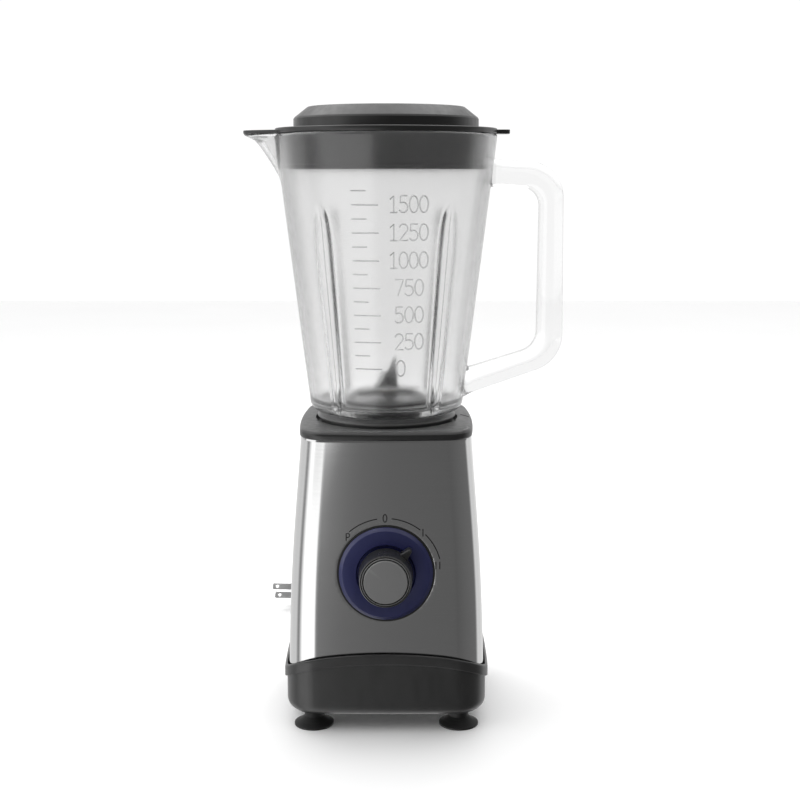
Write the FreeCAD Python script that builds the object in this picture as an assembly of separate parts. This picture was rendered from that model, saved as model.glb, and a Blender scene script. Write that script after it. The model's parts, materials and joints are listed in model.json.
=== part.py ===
import FreeCAD, Part
import math
import os
from FreeCAD import Vector

# Countertop blender: a square motor base, a glass jug with a blade unit, and a lid.
# Millimetres.  Origin on the surface that it stands on, below the jug's axis.
# +Z is up, -Y is the front with the dial, +X is the jug's handle and -X its spout.

# ---------------------------------------------------------------- driving dimensions
TOTAL_HEIGHT = 416.0
DECK_TOP = 204.9          # top of the black deck that the jug stands in
DECK_BOTTOM = 198.8       # where the deck meets the steel housing
DECK_HALF = 59.4          # half of the deck's width, at the middle of a side
SIDE_BULGE_RADIUS = 420.0  # radius of the deck's slightly bulged sides
DECK_CORNER = 18.0

STEEL = 1.2               # thickness of the housing
# half width of the housing at each height, which makes its slightly bowed taper
HOUSING_HALVES = [(30.0, 67.2), (70.0, 66.3), (110.0, 64.7), (155.0, 61.7), (DECK_BOTTOM, 58.6)]

BASE_BOTTOM = 11.5        # underside of the black base
BASE_HALF = 68.4
BASE_CORNER = 20.0
BASE_BULGE_RADIUS = 1200.0
BASE_WALL = 2.5
BASE_FLOOR = 3.0
BASE_EDGE_FILLET = 8.5
RIM_HALF = 70.0           # outer half width of the band round the top of the base
RIM_INNER_HALF = 68.4
RIM_MIDDLE = 56.2         # height of the wavy rim at the middle of the front
RIM_BAND = 7.0            # height of the band

FOOT_PITCH = 49.4         # feet at plus and minus this, in X and Y
FOOT_CUP_RADIUS = 13.4
FOOT_STEM_RADIUS = 6.6

DIAL_HEIGHT = 110.8       # centre of the dial on the front
DIAL_LEAN = 3.3           # degrees that the front leans back there
DIAL_FACE_Y = -64.7       # outside of the housing at the dial's centre
BEZEL_RADIUS = 31.5
KNOB_SKIRT_RADIUS = 18.9
KNOB_CAP_RADIUS = 16.7
KNOB_DISC_RADIUS = 14.1
KNOB_FRONT = 25.0         # how far the knob stands out from the housing
POINTER_TIP_RADIUS = 25.2
POINTER_ANGLE = 42.0      # the knob points to speed one, clockwise from straight up
SWITCH_SHAFT_RADIUS = 3.0

SHAFT_RADIUS = 4.0        # motor shaft and blade shaft
RUNNING = 0.05            # radial clearance of a shaft in its bearing
CLEAR = 0.4               # gap between parts of different bodies
STACK_BOTTOM = 100.0      # laminated stack of the motor
STACK_TOP = 140.0
STATOR_HALF = 33.0
BORE_RADIUS = 21.5
ARMATURE_RADIUS = 20.9
MOTOR_BOLT_PITCH = 28.0
BRACKET_HALF = 43.0
HANGER_PITCH = 37.0       # screws that hang the motor from the deck
CASE_SCREW_X = 49.5       # screws that hold deck, housing and base together
CASE_SCREW_Y = 22.0
CASE_JOINT = 60.0         # height where the deck's posts meet the base's towers

JUG_BOTTOM = 210.6
JUG_TOP = 397.4
JUG_WALL = 4.0
JUG_FLOOR = 5.0
JUG_FOOT_RADIUS = 52.0    # outer radius of the jug's wall at its bottom
JUG_TAPER = 0.1221        # outer radius gained for each millimetre of height
JUG_HOLE_RADIUS = 24.0    # hole in the jug's floor for the blade unit
SPOUT_TIP = 97.3
HANDLE_DEPTH = 19.0

COLLAR_RADIUS = 47.5
RECESS_RADIUS = 49.0      # recess in the deck that locates the collar
RECESS_FLOOR = 200.9
COLLAR_BOTTOM = 201.3
DOME_RADIUS = 29.0        # blade unit inside the jug
DOME_TOP = 223.5
BLADES_BOTTOM = 224.4
BLADE_THICKNESS = 1.6
COUPLING_TEETH = 6

LID_FLANGE_RADIUS = 75.2
LID_FLANGE_BOTTOM = JUG_TOP + CLEAR
LID_FLANGE_TOP = 401.0
LID_SKIRT_BOTTOM = 373.5
DOME_SIDE_TOP = 407.0
LID_DOME_RADIUS = 62.1
LID_TOP_RADIUS = 52.6
LID_EDGE_HEIGHT = 415.0   # where the lid's chamfer meets its slightly crowned top
CAP_RADIUS = 24.0

CORD_RADIUS = 3.25
CORD_EXIT = Vector(39.5, 68.9, 26.0)
RELIEF_LENGTH = 30.0
RELIEF_DROOP = 10.0       # degrees that the strain relief points down
COIL_CENTRE = Vector(0.0, 174.0, 0.0)
COIL_OUTER = 43.3
COIL_INNER = 29.2
COIL_HEIGHT = 13.4
PLUG_FACE = Vector(-82.0, 198.6, 14.8)
PLUG_HEADING = 196.0      # degrees from +X: where the prongs point
PLUG_LENGTH = 36.0
PLUG_RELIEF = 22.0
PLUG_ROLL = -18.0         # the plug lies tipped about its own length
PLUG_PITCH = 6.0          # degrees that the prongs point up, as the plug lies
PLUG_HALF_WIDTH = 11.5
PLUG_HALF_HEIGHT = 10.2
PRONG_SPACING = 12.7
PRONG_LENGTH = 18.3
RELIEF_WAY = Vector(0, math.cos(math.radians(RELIEF_DROOP)), -math.sin(math.radians(RELIEF_DROOP)))
PLUG_WAY = Vector(
    math.cos(math.radians(PLUG_HEADING)) * math.cos(math.radians(PLUG_PITCH)),
    math.sin(math.radians(PLUG_HEADING)) * math.cos(math.radians(PLUG_PITCH)),
    math.sin(math.radians(PLUG_PITCH)),
)
# route of the cord's centre line from the strain relief to the coil
CORD_NEAR = [
    CORD_EXIT + RELIEF_WAY * RELIEF_LENGTH,
    Vector(39.5, 115.0, 17.9),
    Vector(39.5, 131.5, 9.9),
    Vector(39.5, 148.5, 4.6),
    Vector(39.6, 164.5, 3.7),
]
# route from the coil to the plug's own strain relief
CORD_FAR = [
    Vector(39.6, 178.5, 9.6),
    Vector(39.6, 195.8, 8.4),
    Vector(31.9, 211.0, 5.0),
    Vector(18.1, 221.2, 3.5),
    Vector(1.3, 224.1, 3.6),
    Vector(-14.6, 219.5, 6.9),
    PLUG_FACE - PLUG_WAY * (PLUG_LENGTH + PLUG_RELIEF),
]

UP = Vector(0, 0, 1)
ORIGIN = Vector(0, 0, 0)
QUARTERS = [(1, 1), (-1, 1), (-1, -1), (1, -1)]


# ---------------------------------------------------------------- small helpers
def export(name, shape):
    """Write one node's STEP file."""
    solids = shape.Solids
    part = solids[0] if len(solids) == 1 else Part.makeCompound(solids)
    part.exportStep("parts/" + name + ".step")


def cylinder(radius, bottom, top, x=0.0, y=0.0):
    return Part.makeCylinder(radius, top - bottom, Vector(x, y, bottom))


def ring(outer, inner, bottom, top, x=0.0, y=0.0):
    return cylinder(outer, bottom, top, x, y).cut(cylinder(inner, bottom - 1, top + 1, x, y))


def cone(radius_bottom, radius_top, bottom, top, x=0.0, y=0.0):
    return Part.makeCone(radius_bottom, radius_top, top - bottom, Vector(x, y, bottom))


def block(low, high):
    size = [b - a for a, b in zip(low, high)]
    return Part.makeBox(size[0], size[1], size[2], Vector(*low))


def fuse(shapes):
    shapes = list(shapes)
    return shapes[0].multiFuse(shapes[1:]).removeSplitter()


def revolve(points, axis_point=ORIGIN):
    """Turn a closed outline of (radius, height) points about the Z axis."""
    corners = [Vector(r, 0, z) for r, z in points]
    face = Part.Face(Part.makePolygon(corners + corners[:1]))
    turned = face.revolve(ORIGIN, UP, 360)
    turned.translate(axis_point)
    return turned


def sector(inner, outer, start, end, bottom, top):
    """Part of a ring between two angles in degrees."""
    tube = Part.makeCylinder(outer, top - bottom, Vector(0, 0, bottom), UP, end - start)
    tube = tube.cut(cylinder(inner, bottom - 1, top + 1))
    tube.rotate(ORIGIN, UP, start)
    return tube


def bulged_square(half, corner, bulge_radius, height):
    """Wire of a square with slightly bulged sides and tangent round corners."""
    side_centre = half - bulge_radius
    reach = bulge_radius - corner
    centre = (side_centre + math.sqrt(2 * reach**2 - side_centre**2)) / 2
    angle = math.atan2(centre, centre - side_centre)
    side_end = Vector(side_centre + bulge_radius * math.cos(angle), bulge_radius * math.sin(angle), height)
    diagonal = centre + corner / math.sqrt(2)
    turned_end = Vector(side_end.y, side_end.x, height)
    side = Part.Arc(Vector(side_end.x, -side_end.y, height), Vector(half, 0, height), side_end)
    round_corner = Part.Arc(side_end, Vector(diagonal, diagonal, height), turned_end)
    edges = []
    for turn in range(4):
        for arc in (side, round_corner):
            edge = arc.toShape()
            edge.rotate(ORIGIN, UP, 90 * turn)
            edges.append(edge)
    return Part.Wire(edges)


def square_prism(half, corner, bulge_radius, bottom, top):
    wire = bulged_square(half, corner, bulge_radius, bottom)
    return Part.Face(wire).extrude(Vector(0, 0, top - bottom))


def base_prism(half, bottom, top):
    corner = BASE_CORNER + half - BASE_HALF
    return square_prism(half, corner, BASE_BULGE_RADIUS, bottom, top)


def rim_height(x):
    """Height of the base's wavy rim: high at the middle of the front, low at the sides."""
    u = x / RIM_HALF
    return RIM_MIDDLE - 7.5 * u**2 - 8.5 * u**8


def below_rim(offset):
    """Everything below the rim's wavy line, moved up or down by offset."""
    reach = RIM_HALF + 2.0
    steps = 12
    crest = [Vector(reach * (i / steps * 2 - 1), -90, 0) for i in range(steps + 1)]
    for point in crest:
        point.z = rim_height(point.x) + offset
    curve = Part.BSplineCurve()
    curve.interpolate(crest)
    low_right = Vector(reach, -90, -20)
    low_left = Vector(-reach, -90, -20)
    sides = Part.makePolygon([crest[-1], low_right, low_left, crest[0]])
    face = Part.Face(Part.Wire([curve.toShape()] + sides.Edges))
    return face.extrude(Vector(0, 180, 0))


def on_dial(shape):
    """Move a shape that was built along +Z at the origin onto the leaning dial, facing out."""
    shape.rotate(ORIGIN, Vector(1, 0, 0), 90 - DIAL_LEAN)
    shape.translate(Vector(0, DIAL_FACE_Y, DIAL_HEIGHT))
    return shape


def at_four(pitch_x, pitch_y, make):
    return [make(pitch_x * sx, pitch_y * sy) for sx, sy in QUARTERS]


# ---------------------------------------------------------------- base and housing
def lower_base():
    body = base_prism(BASE_HALF, BASE_BOTTOM, 70)
    bottom_edges = [e for e in body.Edges if e.BoundBox.ZMax < BASE_BOTTOM + 0.01]
    body = body.makeFillet(BASE_EDGE_FILLET, bottom_edges)
    band = base_prism(RIM_HALF, 20, 70).cut(below_rim(-RIM_BAND))
    outside = body.fuse(band).common(below_rim(0))
    cavity = base_prism(BASE_HALF - BASE_WALL, BASE_BOTTOM + BASE_FLOOR, 80)
    groove = base_prism(RIM_INNER_HALF, 20, 80).cut(below_rim(-5.0))
    shell = outside.cut(cavity).cut(groove)
    floor = BASE_BOTTOM + BASE_FLOOR
    towers = at_four(CASE_SCREW_X, CASE_SCREW_Y, lambda x, y: cylinder(5.5, floor, CASE_JOINT, x, y))
    shell = fuse([shell] + towers)
    shell = shell.cut(cylinder(38.0, 0, floor + 1))
    for x, y in [(CASE_SCREW_X * sx, CASE_SCREW_Y * sy) for sx, sy in QUARTERS]:
        shell = shell.cut(cylinder(2.3, 0, CASE_JOINT + 1, x, y))
        shell = shell.cut(cylinder(4.3, 0, BASE_BOTTOM + 2.0, x, y))
    for x, y in [(FOOT_PITCH * sx, FOOT_PITCH * sy) for sx, sy in QUARTERS]:
        shell = shell.cut(cylinder(4.0, 0, floor + 1, x, y))
    for x, y in cover_screw_places():
        shell = shell.cut(cylinder(1.6, 0, floor + 1, x, y))
    relief_hole = Part.makeCylinder(5.0, 12, Vector(CORD_EXIT.x, CORD_EXIT.y - 8, CORD_EXIT.z), Vector(0, 1, 0))
    return shell.cut(relief_hole)


def cover_screw_places():
    return [(41.0 * math.cos(a), 41.0 * math.sin(a)) for a in [math.radians(45 + 90 * i) for i in range(4)]]


def bottom_cover():
    """Vented round plate under the motor, fixed on top of the base's floor."""
    floor = BASE_BOTTOM + BASE_FLOOR
    plate = cylinder(45.0, floor, floor + 2.0).fuse(cylinder(37.6, BASE_BOTTOM + 0.8, floor))
    for i in range(-3, 4):
        length = math.sqrt(30.0**2 - (i * 8.0)**2)
        slot = block((i * 8.0 - 1.6, -length, 0), (i * 8.0 + 1.6, length, 30))
        plate = plate.cut(slot)
    for x, y in cover_screw_places():
        plate = plate.cut(cylinder(1.4, floor - 1, floor + 3, x, y))
    return plate


def cover_screws():
    floor = BASE_BOTTOM + BASE_FLOOR
    heads = [cylinder(2.6, BASE_BOTTOM - 1.6, BASE_BOTTOM, x, y) for x, y in cover_screw_places()]
    shanks = [cylinder(1.4, BASE_BOTTOM, floor + 2.0, x, y) for x, y in cover_screw_places()]
    return Part.makeCompound([h.fuse(s) for h, s in zip(heads, shanks)])


def suction_foot(x, y):
    """Rubber sucker with a stem and a barb through the base's floor."""
    floor = BASE_BOTTOM + BASE_FLOOR
    outline = [
        (0, 2.6), (FOOT_CUP_RADIUS - 3.0, 0.9), (FOOT_CUP_RADIUS - 0.6, 0), (FOOT_CUP_RADIUS, 0),
        (FOOT_CUP_RADIUS, 1.2), (FOOT_CUP_RADIUS - 3.4, 3.0), (FOOT_STEM_RADIUS + 1.4, 4.6),
        (FOOT_STEM_RADIUS, 6.2), (FOOT_STEM_RADIUS, BASE_BOTTOM), (4.0, BASE_BOTTOM), (4.0, floor),
        (5.4, floor), (3.4, floor + 4.0), (0, floor + 4.0),
    ]
    return revolve(outline, Vector(x, y, 0))


def housing_halves(inset):
    wires = []
    for z, half in HOUSING_HALVES:
        blend = (z - HOUSING_HALVES[0][0]) / (DECK_BOTTOM - HOUSING_HALVES[0][0])
        corner = BASE_CORNER + blend * (DECK_CORNER - BASE_CORNER)
        bulge = BASE_BULGE_RADIUS + blend * (SIDE_BULGE_RADIUS - BASE_BULGE_RADIUS)
        wires.append(bulged_square(half - inset, corner - inset, bulge, z))
    return Part.makeLoft(wires, True, False)


def steel_housing():
    sleeve = housing_halves(0).cut(housing_halves(STEEL))
    sleeve = sleeve.cut(below_rim(-3.5))
    hole = on_dial(cylinder(BEZEL_RADIUS + 0.15, -12, 12))
    return sleeve.cut(hole)


def top_deck():
    """Black plate with the jug's recess, a lip inside the housing, and screw posts."""
    plate = square_prism(DECK_HALF, DECK_CORNER, SIDE_BULGE_RADIUS, DECK_BOTTOM, DECK_TOP)
    top_edges = [e for e in plate.Edges if e.BoundBox.ZMin > DECK_TOP - 0.01]
    plate = plate.makeFillet(2.4, top_edges)
    lip_half = HOUSING_HALVES[-1][1] - STEEL - 0.1
    lip = square_prism(lip_half, DECK_CORNER - 0.6, SIDE_BULGE_RADIUS, DECK_BOTTOM - 6, DECK_BOTTOM)
    lip = lip.cut(square_prism(lip_half - 2, DECK_CORNER - 4, SIDE_BULGE_RADIUS, 150, 200))
    hangers = at_four(HANGER_PITCH, HANGER_PITCH, lambda x, y: cylinder(5.0, 170.2, DECK_BOTTOM, x, y))
    posts = at_four(CASE_SCREW_X, CASE_SCREW_Y, lambda x, y: cylinder(4.6, CASE_JOINT, DECK_BOTTOM, x, y))
    deck = fuse([plate, lip] + hangers + posts)
    deck = deck.cut(cylinder(RECESS_RADIUS, RECESS_FLOOR, 220))
    deck = deck.cut(cylinder(22.0, 150, 220))
    for sx, sy in QUARTERS:
        deck = deck.cut(cylinder(2.05, 150, 182, HANGER_PITCH * sx, HANGER_PITCH * sy))
        deck = deck.cut(cylinder(2.05, 50, 80, CASE_SCREW_X * sx, CASE_SCREW_Y * sy))
    return deck


def case_screws():
    def screw(x, y):
        head = cylinder(4.0, BASE_BOTTOM - 0.3, BASE_BOTTOM + 2.0, x, y)
        return head.fuse(cylinder(2.0, BASE_BOTTOM + 2.0, 78, x, y))
    return Part.makeCompound(at_four(CASE_SCREW_X, CASE_SCREW_Y, screw))


# ---------------------------------------------------------------- motor
def bracket(bottom, top, post_bottom, post_top, bearing_bottom, bearing_top, half):
    """Motor end plate with a bearing cup and four posts that reach the stack."""
    plate = square_prism(half, 9, 2000, bottom, top)
    cup = cylinder(14.0, bearing_bottom, bearing_top)
    pitch = MOTOR_BOLT_PITCH
    posts = at_four(pitch, pitch, lambda x, y: cylinder(4.4, post_bottom, post_top, x, y))
    solid = fuse([plate, cup] + posts)
    for turn in range(4):
        window = sector(17.0, 31.0, 90 * turn - 26, 90 * turn + 26, bottom - 1, top + 1)
        solid = solid.cut(window)
    solid = solid.cut(cylinder(11.0, 0, 300))
    for x, y in [(pitch * sx, pitch * sy) for sx, sy in QUARTERS]:
        solid = solid.cut(cylinder(2.05, 0, 300, x, y))
    return solid


def upper_bracket():
    solid = bracket(161.5, 165.0, STACK_TOP, 161.5, 159.0, 168.0, BRACKET_HALF)
    for sx, sy in QUARTERS:
        solid = solid.cut(cylinder(3.2, 150, 170, HANGER_PITCH * sx, HANGER_PITCH * sy))
    return solid


def lower_bracket():
    return bracket(68.0, 71.5, 71.5, STACK_BOTTOM, 66.0, 75.0, 36.0)


def bearing(bottom, top):
    """Plain ball bearing outline: two races and the balls' shield between them."""
    races = ring(11.0, SHAFT_RADIUS + RUNNING, bottom, top)
    return races.cut(ring(9.4, 6.4, top - 0.6, top + 1))


def mount_bushes():
    def bush(x, y):
        return ring(6.0, 2.6, 165.0, 170.2, x, y)
    return Part.makeCompound(at_four(HANGER_PITCH, HANGER_PITCH, bush))


def mount_screws():
    def screw(x, y):
        head = cylinder(4.6, 158.9, 161.5, x, y)
        return head.fuse(cylinder(2.0, 161.5, 181, x, y))
    return Part.makeCompound(at_four(HANGER_PITCH, HANGER_PITCH, screw))


def motor_bolts():
    def bolt(x, y):
        head = cylinder(3.6, 64.8, 68.0, x, y)
        return head.fuse(cylinder(2.0, 68.0, 167.0, x, y))
    return Part.makeCompound(at_four(MOTOR_BOLT_PITCH, MOTOR_BOLT_PITCH, bolt))


def stator_core():
    stack = square_prism(STATOR_HALF, 6, 2000, STACK_BOTTOM, STACK_TOP)
    stack = stack.cut(cylinder(BORE_RADIUS, 90, 150))
    for start in (48, -64, 228, 116):
        stack = stack.cut(sector(23.0, 29.6, start, start + 16, 90, 150))
    for x, y in [(MOTOR_BOLT_PITCH * sx, MOTOR_BOLT_PITCH * sy) for sx, sy in QUARTERS]:
        stack = stack.cut(cylinder(2.05, 90, 150, x, y))
    return stack


def field_coils():
    """Two windings, each round one pole: axial sides in the slots and curved ends."""
    def coil(turn):
        ends = [
            sector(23.4, 29.2, turn - 63, turn + 63, STACK_TOP, STACK_TOP + 5),
            sector(23.4, 29.2, turn - 63, turn + 63, STACK_BOTTOM - 5, STACK_BOTTOM),
        ]
        sides = [
            sector(23.4, 29.2, turn + 49, turn + 63, STACK_BOTTOM - 5, STACK_TOP + 5),
            sector(23.4, 29.2, turn - 63, turn - 49, STACK_BOTTOM - 5, STACK_TOP + 5),
        ]
        return fuse(ends + sides)
    return Part.makeCompound([coil(0), coil(180)])


def motor_shaft():
    shaft = cylinder(SHAFT_RADIUS, 63.0, 196.0)
    return shaft.makeChamfer(0.6, [e for e in shaft.Edges if e.Length < 26])


def armature_core():
    core = ring(ARMATURE_RADIUS, SHAFT_RADIUS, STACK_BOTTOM, STACK_TOP)
    slots = 12
    for i in range(slots):
        slot = block((15.0, -1.1, 90), (25.0, 1.1, 150))
        slot.rotate(ORIGIN, UP, 360 / slots * i)
        core = core.cut(slot)
    return core


def armature_windings():
    def end_turns(bottom, top):
        bundle = ring(17.5, SHAFT_RADIUS, bottom, top)
        rims = [e for e in bundle.Edges if e.Length > 100]
        return bundle.makeFillet(3.0, rims)
    return Part.makeCompound([end_turns(STACK_TOP, STACK_TOP + 8), end_turns(91.5, STACK_BOTTOM)])


def commutator():
    body = ring(11.0, SHAFT_RADIUS, 78.5, 91.5)
    for i in range(24):
        gap = block((9.8, -0.25, 78), (12.0, 0.25, 90.2))
        gap.rotate(ORIGIN, UP, 15 * i)
        body = body.cut(gap)
    return body


def brush_pair(make):
    right = make()
    left = make()
    left.rotate(ORIGIN, UP, 180)
    return Part.makeCompound([right, left])


def carbon_brushes():
    return brush_pair(lambda: block((11.0 + CLEAR, -3.0, 81.5), (25.0, 3.0, 88.5)))


def brush_holders():
    """Brass boxes on feet that stand on the lower bracket."""
    def holder():
        box = block((13.5, -4.2, 80.3), (33.5, 4.2, 89.7))
        box = box.cut(block((10.0, -3.0, 81.5), (32.3, 3.0, 88.5)))
        foot = block((24.0 + 8.0, -4.2, 71.5), (24.0 + 9.5, 4.2, 80.3))
        return box.fuse(foot)
    return brush_pair(holder)


def brush_springs():
    """Coil springs behind the brushes."""
    def spring():
        turns = Part.makeHelix(1.55, 6.2, 2.2)
        profile = Part.Wire(Part.makeCircle(0.35, Vector(2.2, 0, 0), Vector(0, 1, 0)))
        coil = Part.Wire(turns).makePipeShell([profile], True, True)
        coil.rotate(ORIGIN, Vector(0, 1, 0), 90)
        coil.translate(Vector(25.4, 0, 85.0))
        return coil
    return brush_pair(spring)


def cooling_fan():
    hub = ring(9.0, SHAFT_RADIUS, 149.5, 157.5)
    disc = ring(22.5, 8.0, 149.5, 150.7)
    blades = []
    for i in range(9):
        blade = block((8.0, -0.7, 150.0), (22.3, 0.7, 157.0))
        blade.rotate(Vector(8.0, 0, 0), UP, 24)
        blade.rotate(ORIGIN, UP, 40 * i)
        blades.append(blade)
    return fuse([hub, disc] + blades).common(cylinder(22.5, 140, 160))


def coupling_tooth(inner, outer, width, bottom, top, turn):
    return sector(inner, outer, turn - width / 2, turn + width / 2, bottom, top)


def drive_coupling():
    """Toothed driver on the motor shaft, in the middle of the deck's recess."""
    pitch = 360 / COUPLING_TEETH
    teeth = [coupling_tooth(7.0, 12.0, 24, 187.0, 198.6, pitch * i) for i in range(COUPLING_TEETH)]
    hub = cylinder(8.0, 183.0, 199.0).cut(cylinder(SHAFT_RADIUS, 180, 196.0))
    return fuse([hub] + teeth)


# ---------------------------------------------------------------- dial
def dial_bezel():
    """Coloured ring through a round hole in the housing, with a flange behind it."""
    barrel = cylinder(BEZEL_RADIUS, -3.6, 3.0)
    front_edges = [e for e in barrel.Edges if e.BoundBox.ZMin > 2.9]
    barrel = barrel.makeChamfer(2.2, front_edges)
    bezel = barrel.fuse(cylinder(34.5, -5.6, -3.6))
    bezel = bezel.cut(cylinder(19.8, 1.0, 10))
    bezel = bezel.cut(cylinder(5.0, -10, 10))
    return on_dial(bezel)


def rotary_switch():
    body = square_prism(15.0, 2.5, 2000, -24.0, -5.6)
    bushing = cylinder(4.9, -5.6, 4.4)
    terminals = [block((x - 0.4, -14.0, -31.0), (x + 0.4, -8.0, -24.0)) for x in (-9.0, -3.0, 3.0, 9.0)]
    solid = fuse([body, bushing] + terminals)
    return on_dial(solid.cut(cylinder(SWITCH_SHAFT_RADIUS + RUNNING, -21.0, 10)))


def switch_nut():
    corners = [Vector(7.6 * math.cos(math.radians(60 * i)), 7.6 * math.sin(math.radians(60 * i)), 1.0)
               for i in range(7)]
    nut = Part.Face(Part.makePolygon(corners)).extrude(Vector(0, 0, 2.4))
    return on_dial(nut.cut(cylinder(4.9, 0, 10)))


def switch_shaft():
    return on_dial(cylinder(SWITCH_SHAFT_RADIUS, -20.0, 19.0))


def knob_grip():
    """Round knob with a wedge pointer, hollow behind for the nut."""
    skirt = cone(KNOB_SKIRT_RADIUS, KNOB_CAP_RADIUS, 3.6, KNOB_FRONT - 2.4)
    front = cone(KNOB_CAP_RADIUS, KNOB_DISC_RADIUS + 1.0, KNOB_FRONT - 2.4, KNOB_FRONT - 0.6)
    reach = POINTER_TIP_RADIUS
    wedge = Part.makePolygon([Vector(-4.2, 10, 3.6), Vector(4.2, 10, 3.6), Vector(2.2, reach - 1.5, 3.6),
                              Vector(0, reach, 3.6), Vector(-2.2, reach - 1.5, 3.6), Vector(-4.2, 10, 3.6)])
    pointer = Part.Face(wedge).extrude(Vector(0, 0, 7.5))
    grip = fuse([skirt, front, pointer])
    grip = grip.cut(cylinder(12.5, 0, 9.0))
    grip = grip.cut(cylinder(SWITCH_SHAFT_RADIUS, 0, 19.0))
    grip = grip.cut(cylinder(KNOB_DISC_RADIUS, KNOB_FRONT - 2.0, 40))
    grip.rotate(ORIGIN, UP, -POINTER_ANGLE)
    return on_dial(grip)


def knob_disc():
    return on_dial(cylinder(KNOB_DISC_RADIUS, KNOB_FRONT - 2.0, KNOB_FRONT))


# ---------------------------------------------------------------- jug
def jug_outer_radius(z):
    return JUG_FOOT_RADIUS + JUG_TAPER * (z - JUG_BOTTOM)


def spout_section(height, tip, half_width, root):
    """Rounded vee seen from above, from the jug's wall out to the tip."""
    nose = 5.0 if tip > 80 else 2.5
    left = Vector(-root, half_width, height)
    right = Vector(-root, -half_width, height)
    left_nose = Vector(-tip + nose, nose, height)
    right_nose = Vector(-tip + nose, -nose, height)
    arc = Part.Arc(left_nose, Vector(-tip, 0, height), right_nose).toShape()
    edges = [Part.makeLine(left, left_nose), arc, Part.makeLine(right_nose, right), Part.makeLine(right, left)]
    return Part.Wire(edges)


def spout(inset, top):
    levels = [(366.0 + inset, 72.3, 7.0), (392.0 + inset, 87.6, 17.0), (top, SPOUT_TIP, 20.0)]
    wires = []
    for z, tip, half in levels:
        wires.append(spout_section(z, tip - inset, half - inset * 0.8, 60.0))
    return Part.makeLoft(wires, True, True)


def jug_handle():
    """D-shaped bar, flush with the jug's wall: an outline in the XZ plane with rounded edges."""
    def rounded_path(points, radii):
        edges = []
        start = points[0]
        for i in range(1, len(points) - 1):
            before = (points[i - 1] - points[i]).normalize()
            after = (points[i + 1] - points[i]).normalize()
            half_angle = before.getAngle(after) / 2
            cut = radii[i - 1] / math.tan(half_angle)
            centre_way = (before + after).normalize()
            centre = points[i] + centre_way * (radii[i - 1] / math.sin(half_angle))
            middle = centre - centre_way * radii[i - 1]
            edges.append(Part.makeLine(start, points[i] + before * cut))
            edges.append(Part.Arc(points[i] + before * cut, middle, points[i] + after * cut).toShape())
            start = points[i] + after * cut
        edges.append(Part.makeLine(start, points[-1]))
        return edges

    outer = [Vector(62, 0, 381.0), Vector(119.6, 0, 378.3), Vector(121.1, 0, 244.0), Vector(50, 0, 219.0)]
    inner = [Vector(50, 0, 237.6), Vector(102.9, 0, 254.0), Vector(103.4, 0, 361.0), Vector(62, 0, 363.8)]
    edges = rounded_path(outer, [24.0, 26.0]) + rounded_path(inner, [14.0, 12.0])
    edges.append(Part.makeLine(outer[-1], inner[0]))
    edges.append(Part.makeLine(inner[-1], outer[0]))
    face = Part.Face(Part.Wire(Part.__sortEdges__(edges)))
    face.translate(Vector(0, -HANDLE_DEPTH / 2, 0))
    bar = face.extrude(Vector(0, HANDLE_DEPTH, 0))
    rims = [e for e in bar.Edges if e.BoundBox.YLength < 0.01 and e.BoundBox.XMax > 70]
    return bar.makeFillet(5.5, rims).cut(jug_outside())


def jug_outside():
    """The jug's wall as a full solid, without spout and handle."""
    return revolve([(0, JUG_BOTTOM), (44.5, JUG_BOTTOM), (49.6, JUG_BOTTOM + 1.6), (52.4, JUG_BOTTOM + 6.0),
                    (jug_outer_radius(JUG_TOP), JUG_TOP), (0, JUG_TOP)])


def jug_glass():
    floor = JUG_BOTTOM + JUG_FLOOR
    hollow = [(0, floor), (43.0, floor), (47.0, floor + 2.0), (jug_outer_radius(floor + 7) - JUG_WALL, floor + 7),
              (jug_outer_radius(JUG_TOP + 5) - JUG_WALL, JUG_TOP + 5), (0, JUG_TOP + 5)]
    outside = jug_outside().fuse(spout(0.0, JUG_TOP))
    inside = revolve(hollow).fuse(spout(3.0, JUG_TOP + 1.0))
    glass = outside.cut(inside)
    return glass.cut(cylinder(JUG_HOLE_RADIUS, 200, 230))


def jug_collar():
    """Black foot of the jug that screws on to the blade unit's tail."""
    rim = ring(COLLAR_RADIUS, COLLAR_RADIUS - 3.0, COLLAR_BOTTOM, JUG_BOTTOM)
    web = ring(COLLAR_RADIUS - 1.0, JUG_HOLE_RADIUS - 0.4, 205.6, 208.4)
    boss = ring(JUG_HOLE_RADIUS + 3.0, JUG_HOLE_RADIUS - 0.4, 204.4, JUG_BOTTOM)
    return fuse([rim, web, boss])


def blade_housing():
    tail = JUG_HOLE_RADIUS - 0.4
    seat = JUG_BOTTOM + JUG_FLOOR + 1.0
    outline = [(7.0, 204.4), (tail, 204.4), (tail, seat), (DOME_RADIUS, seat), (DOME_RADIUS, seat + 1.6),
               (25.0, seat + 3.9), (17.0, seat + 5.7), (11.0, DOME_TOP - 0.4), (9.6, DOME_TOP), (7.0, DOME_TOP)]
    return revolve(outline)


def jug_gasket():
    floor = JUG_BOTTOM + JUG_FLOOR
    return ring(DOME_RADIUS - 0.6, JUG_HOLE_RADIUS - 0.4, floor, floor + 1.0)


def blade_bearing():
    return ring(7.0, SHAFT_RADIUS + RUNNING, 204.4, DOME_TOP)


def blade_shaft():
    return cylinder(SHAFT_RADIUS, 200.2, 233.0)


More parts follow.
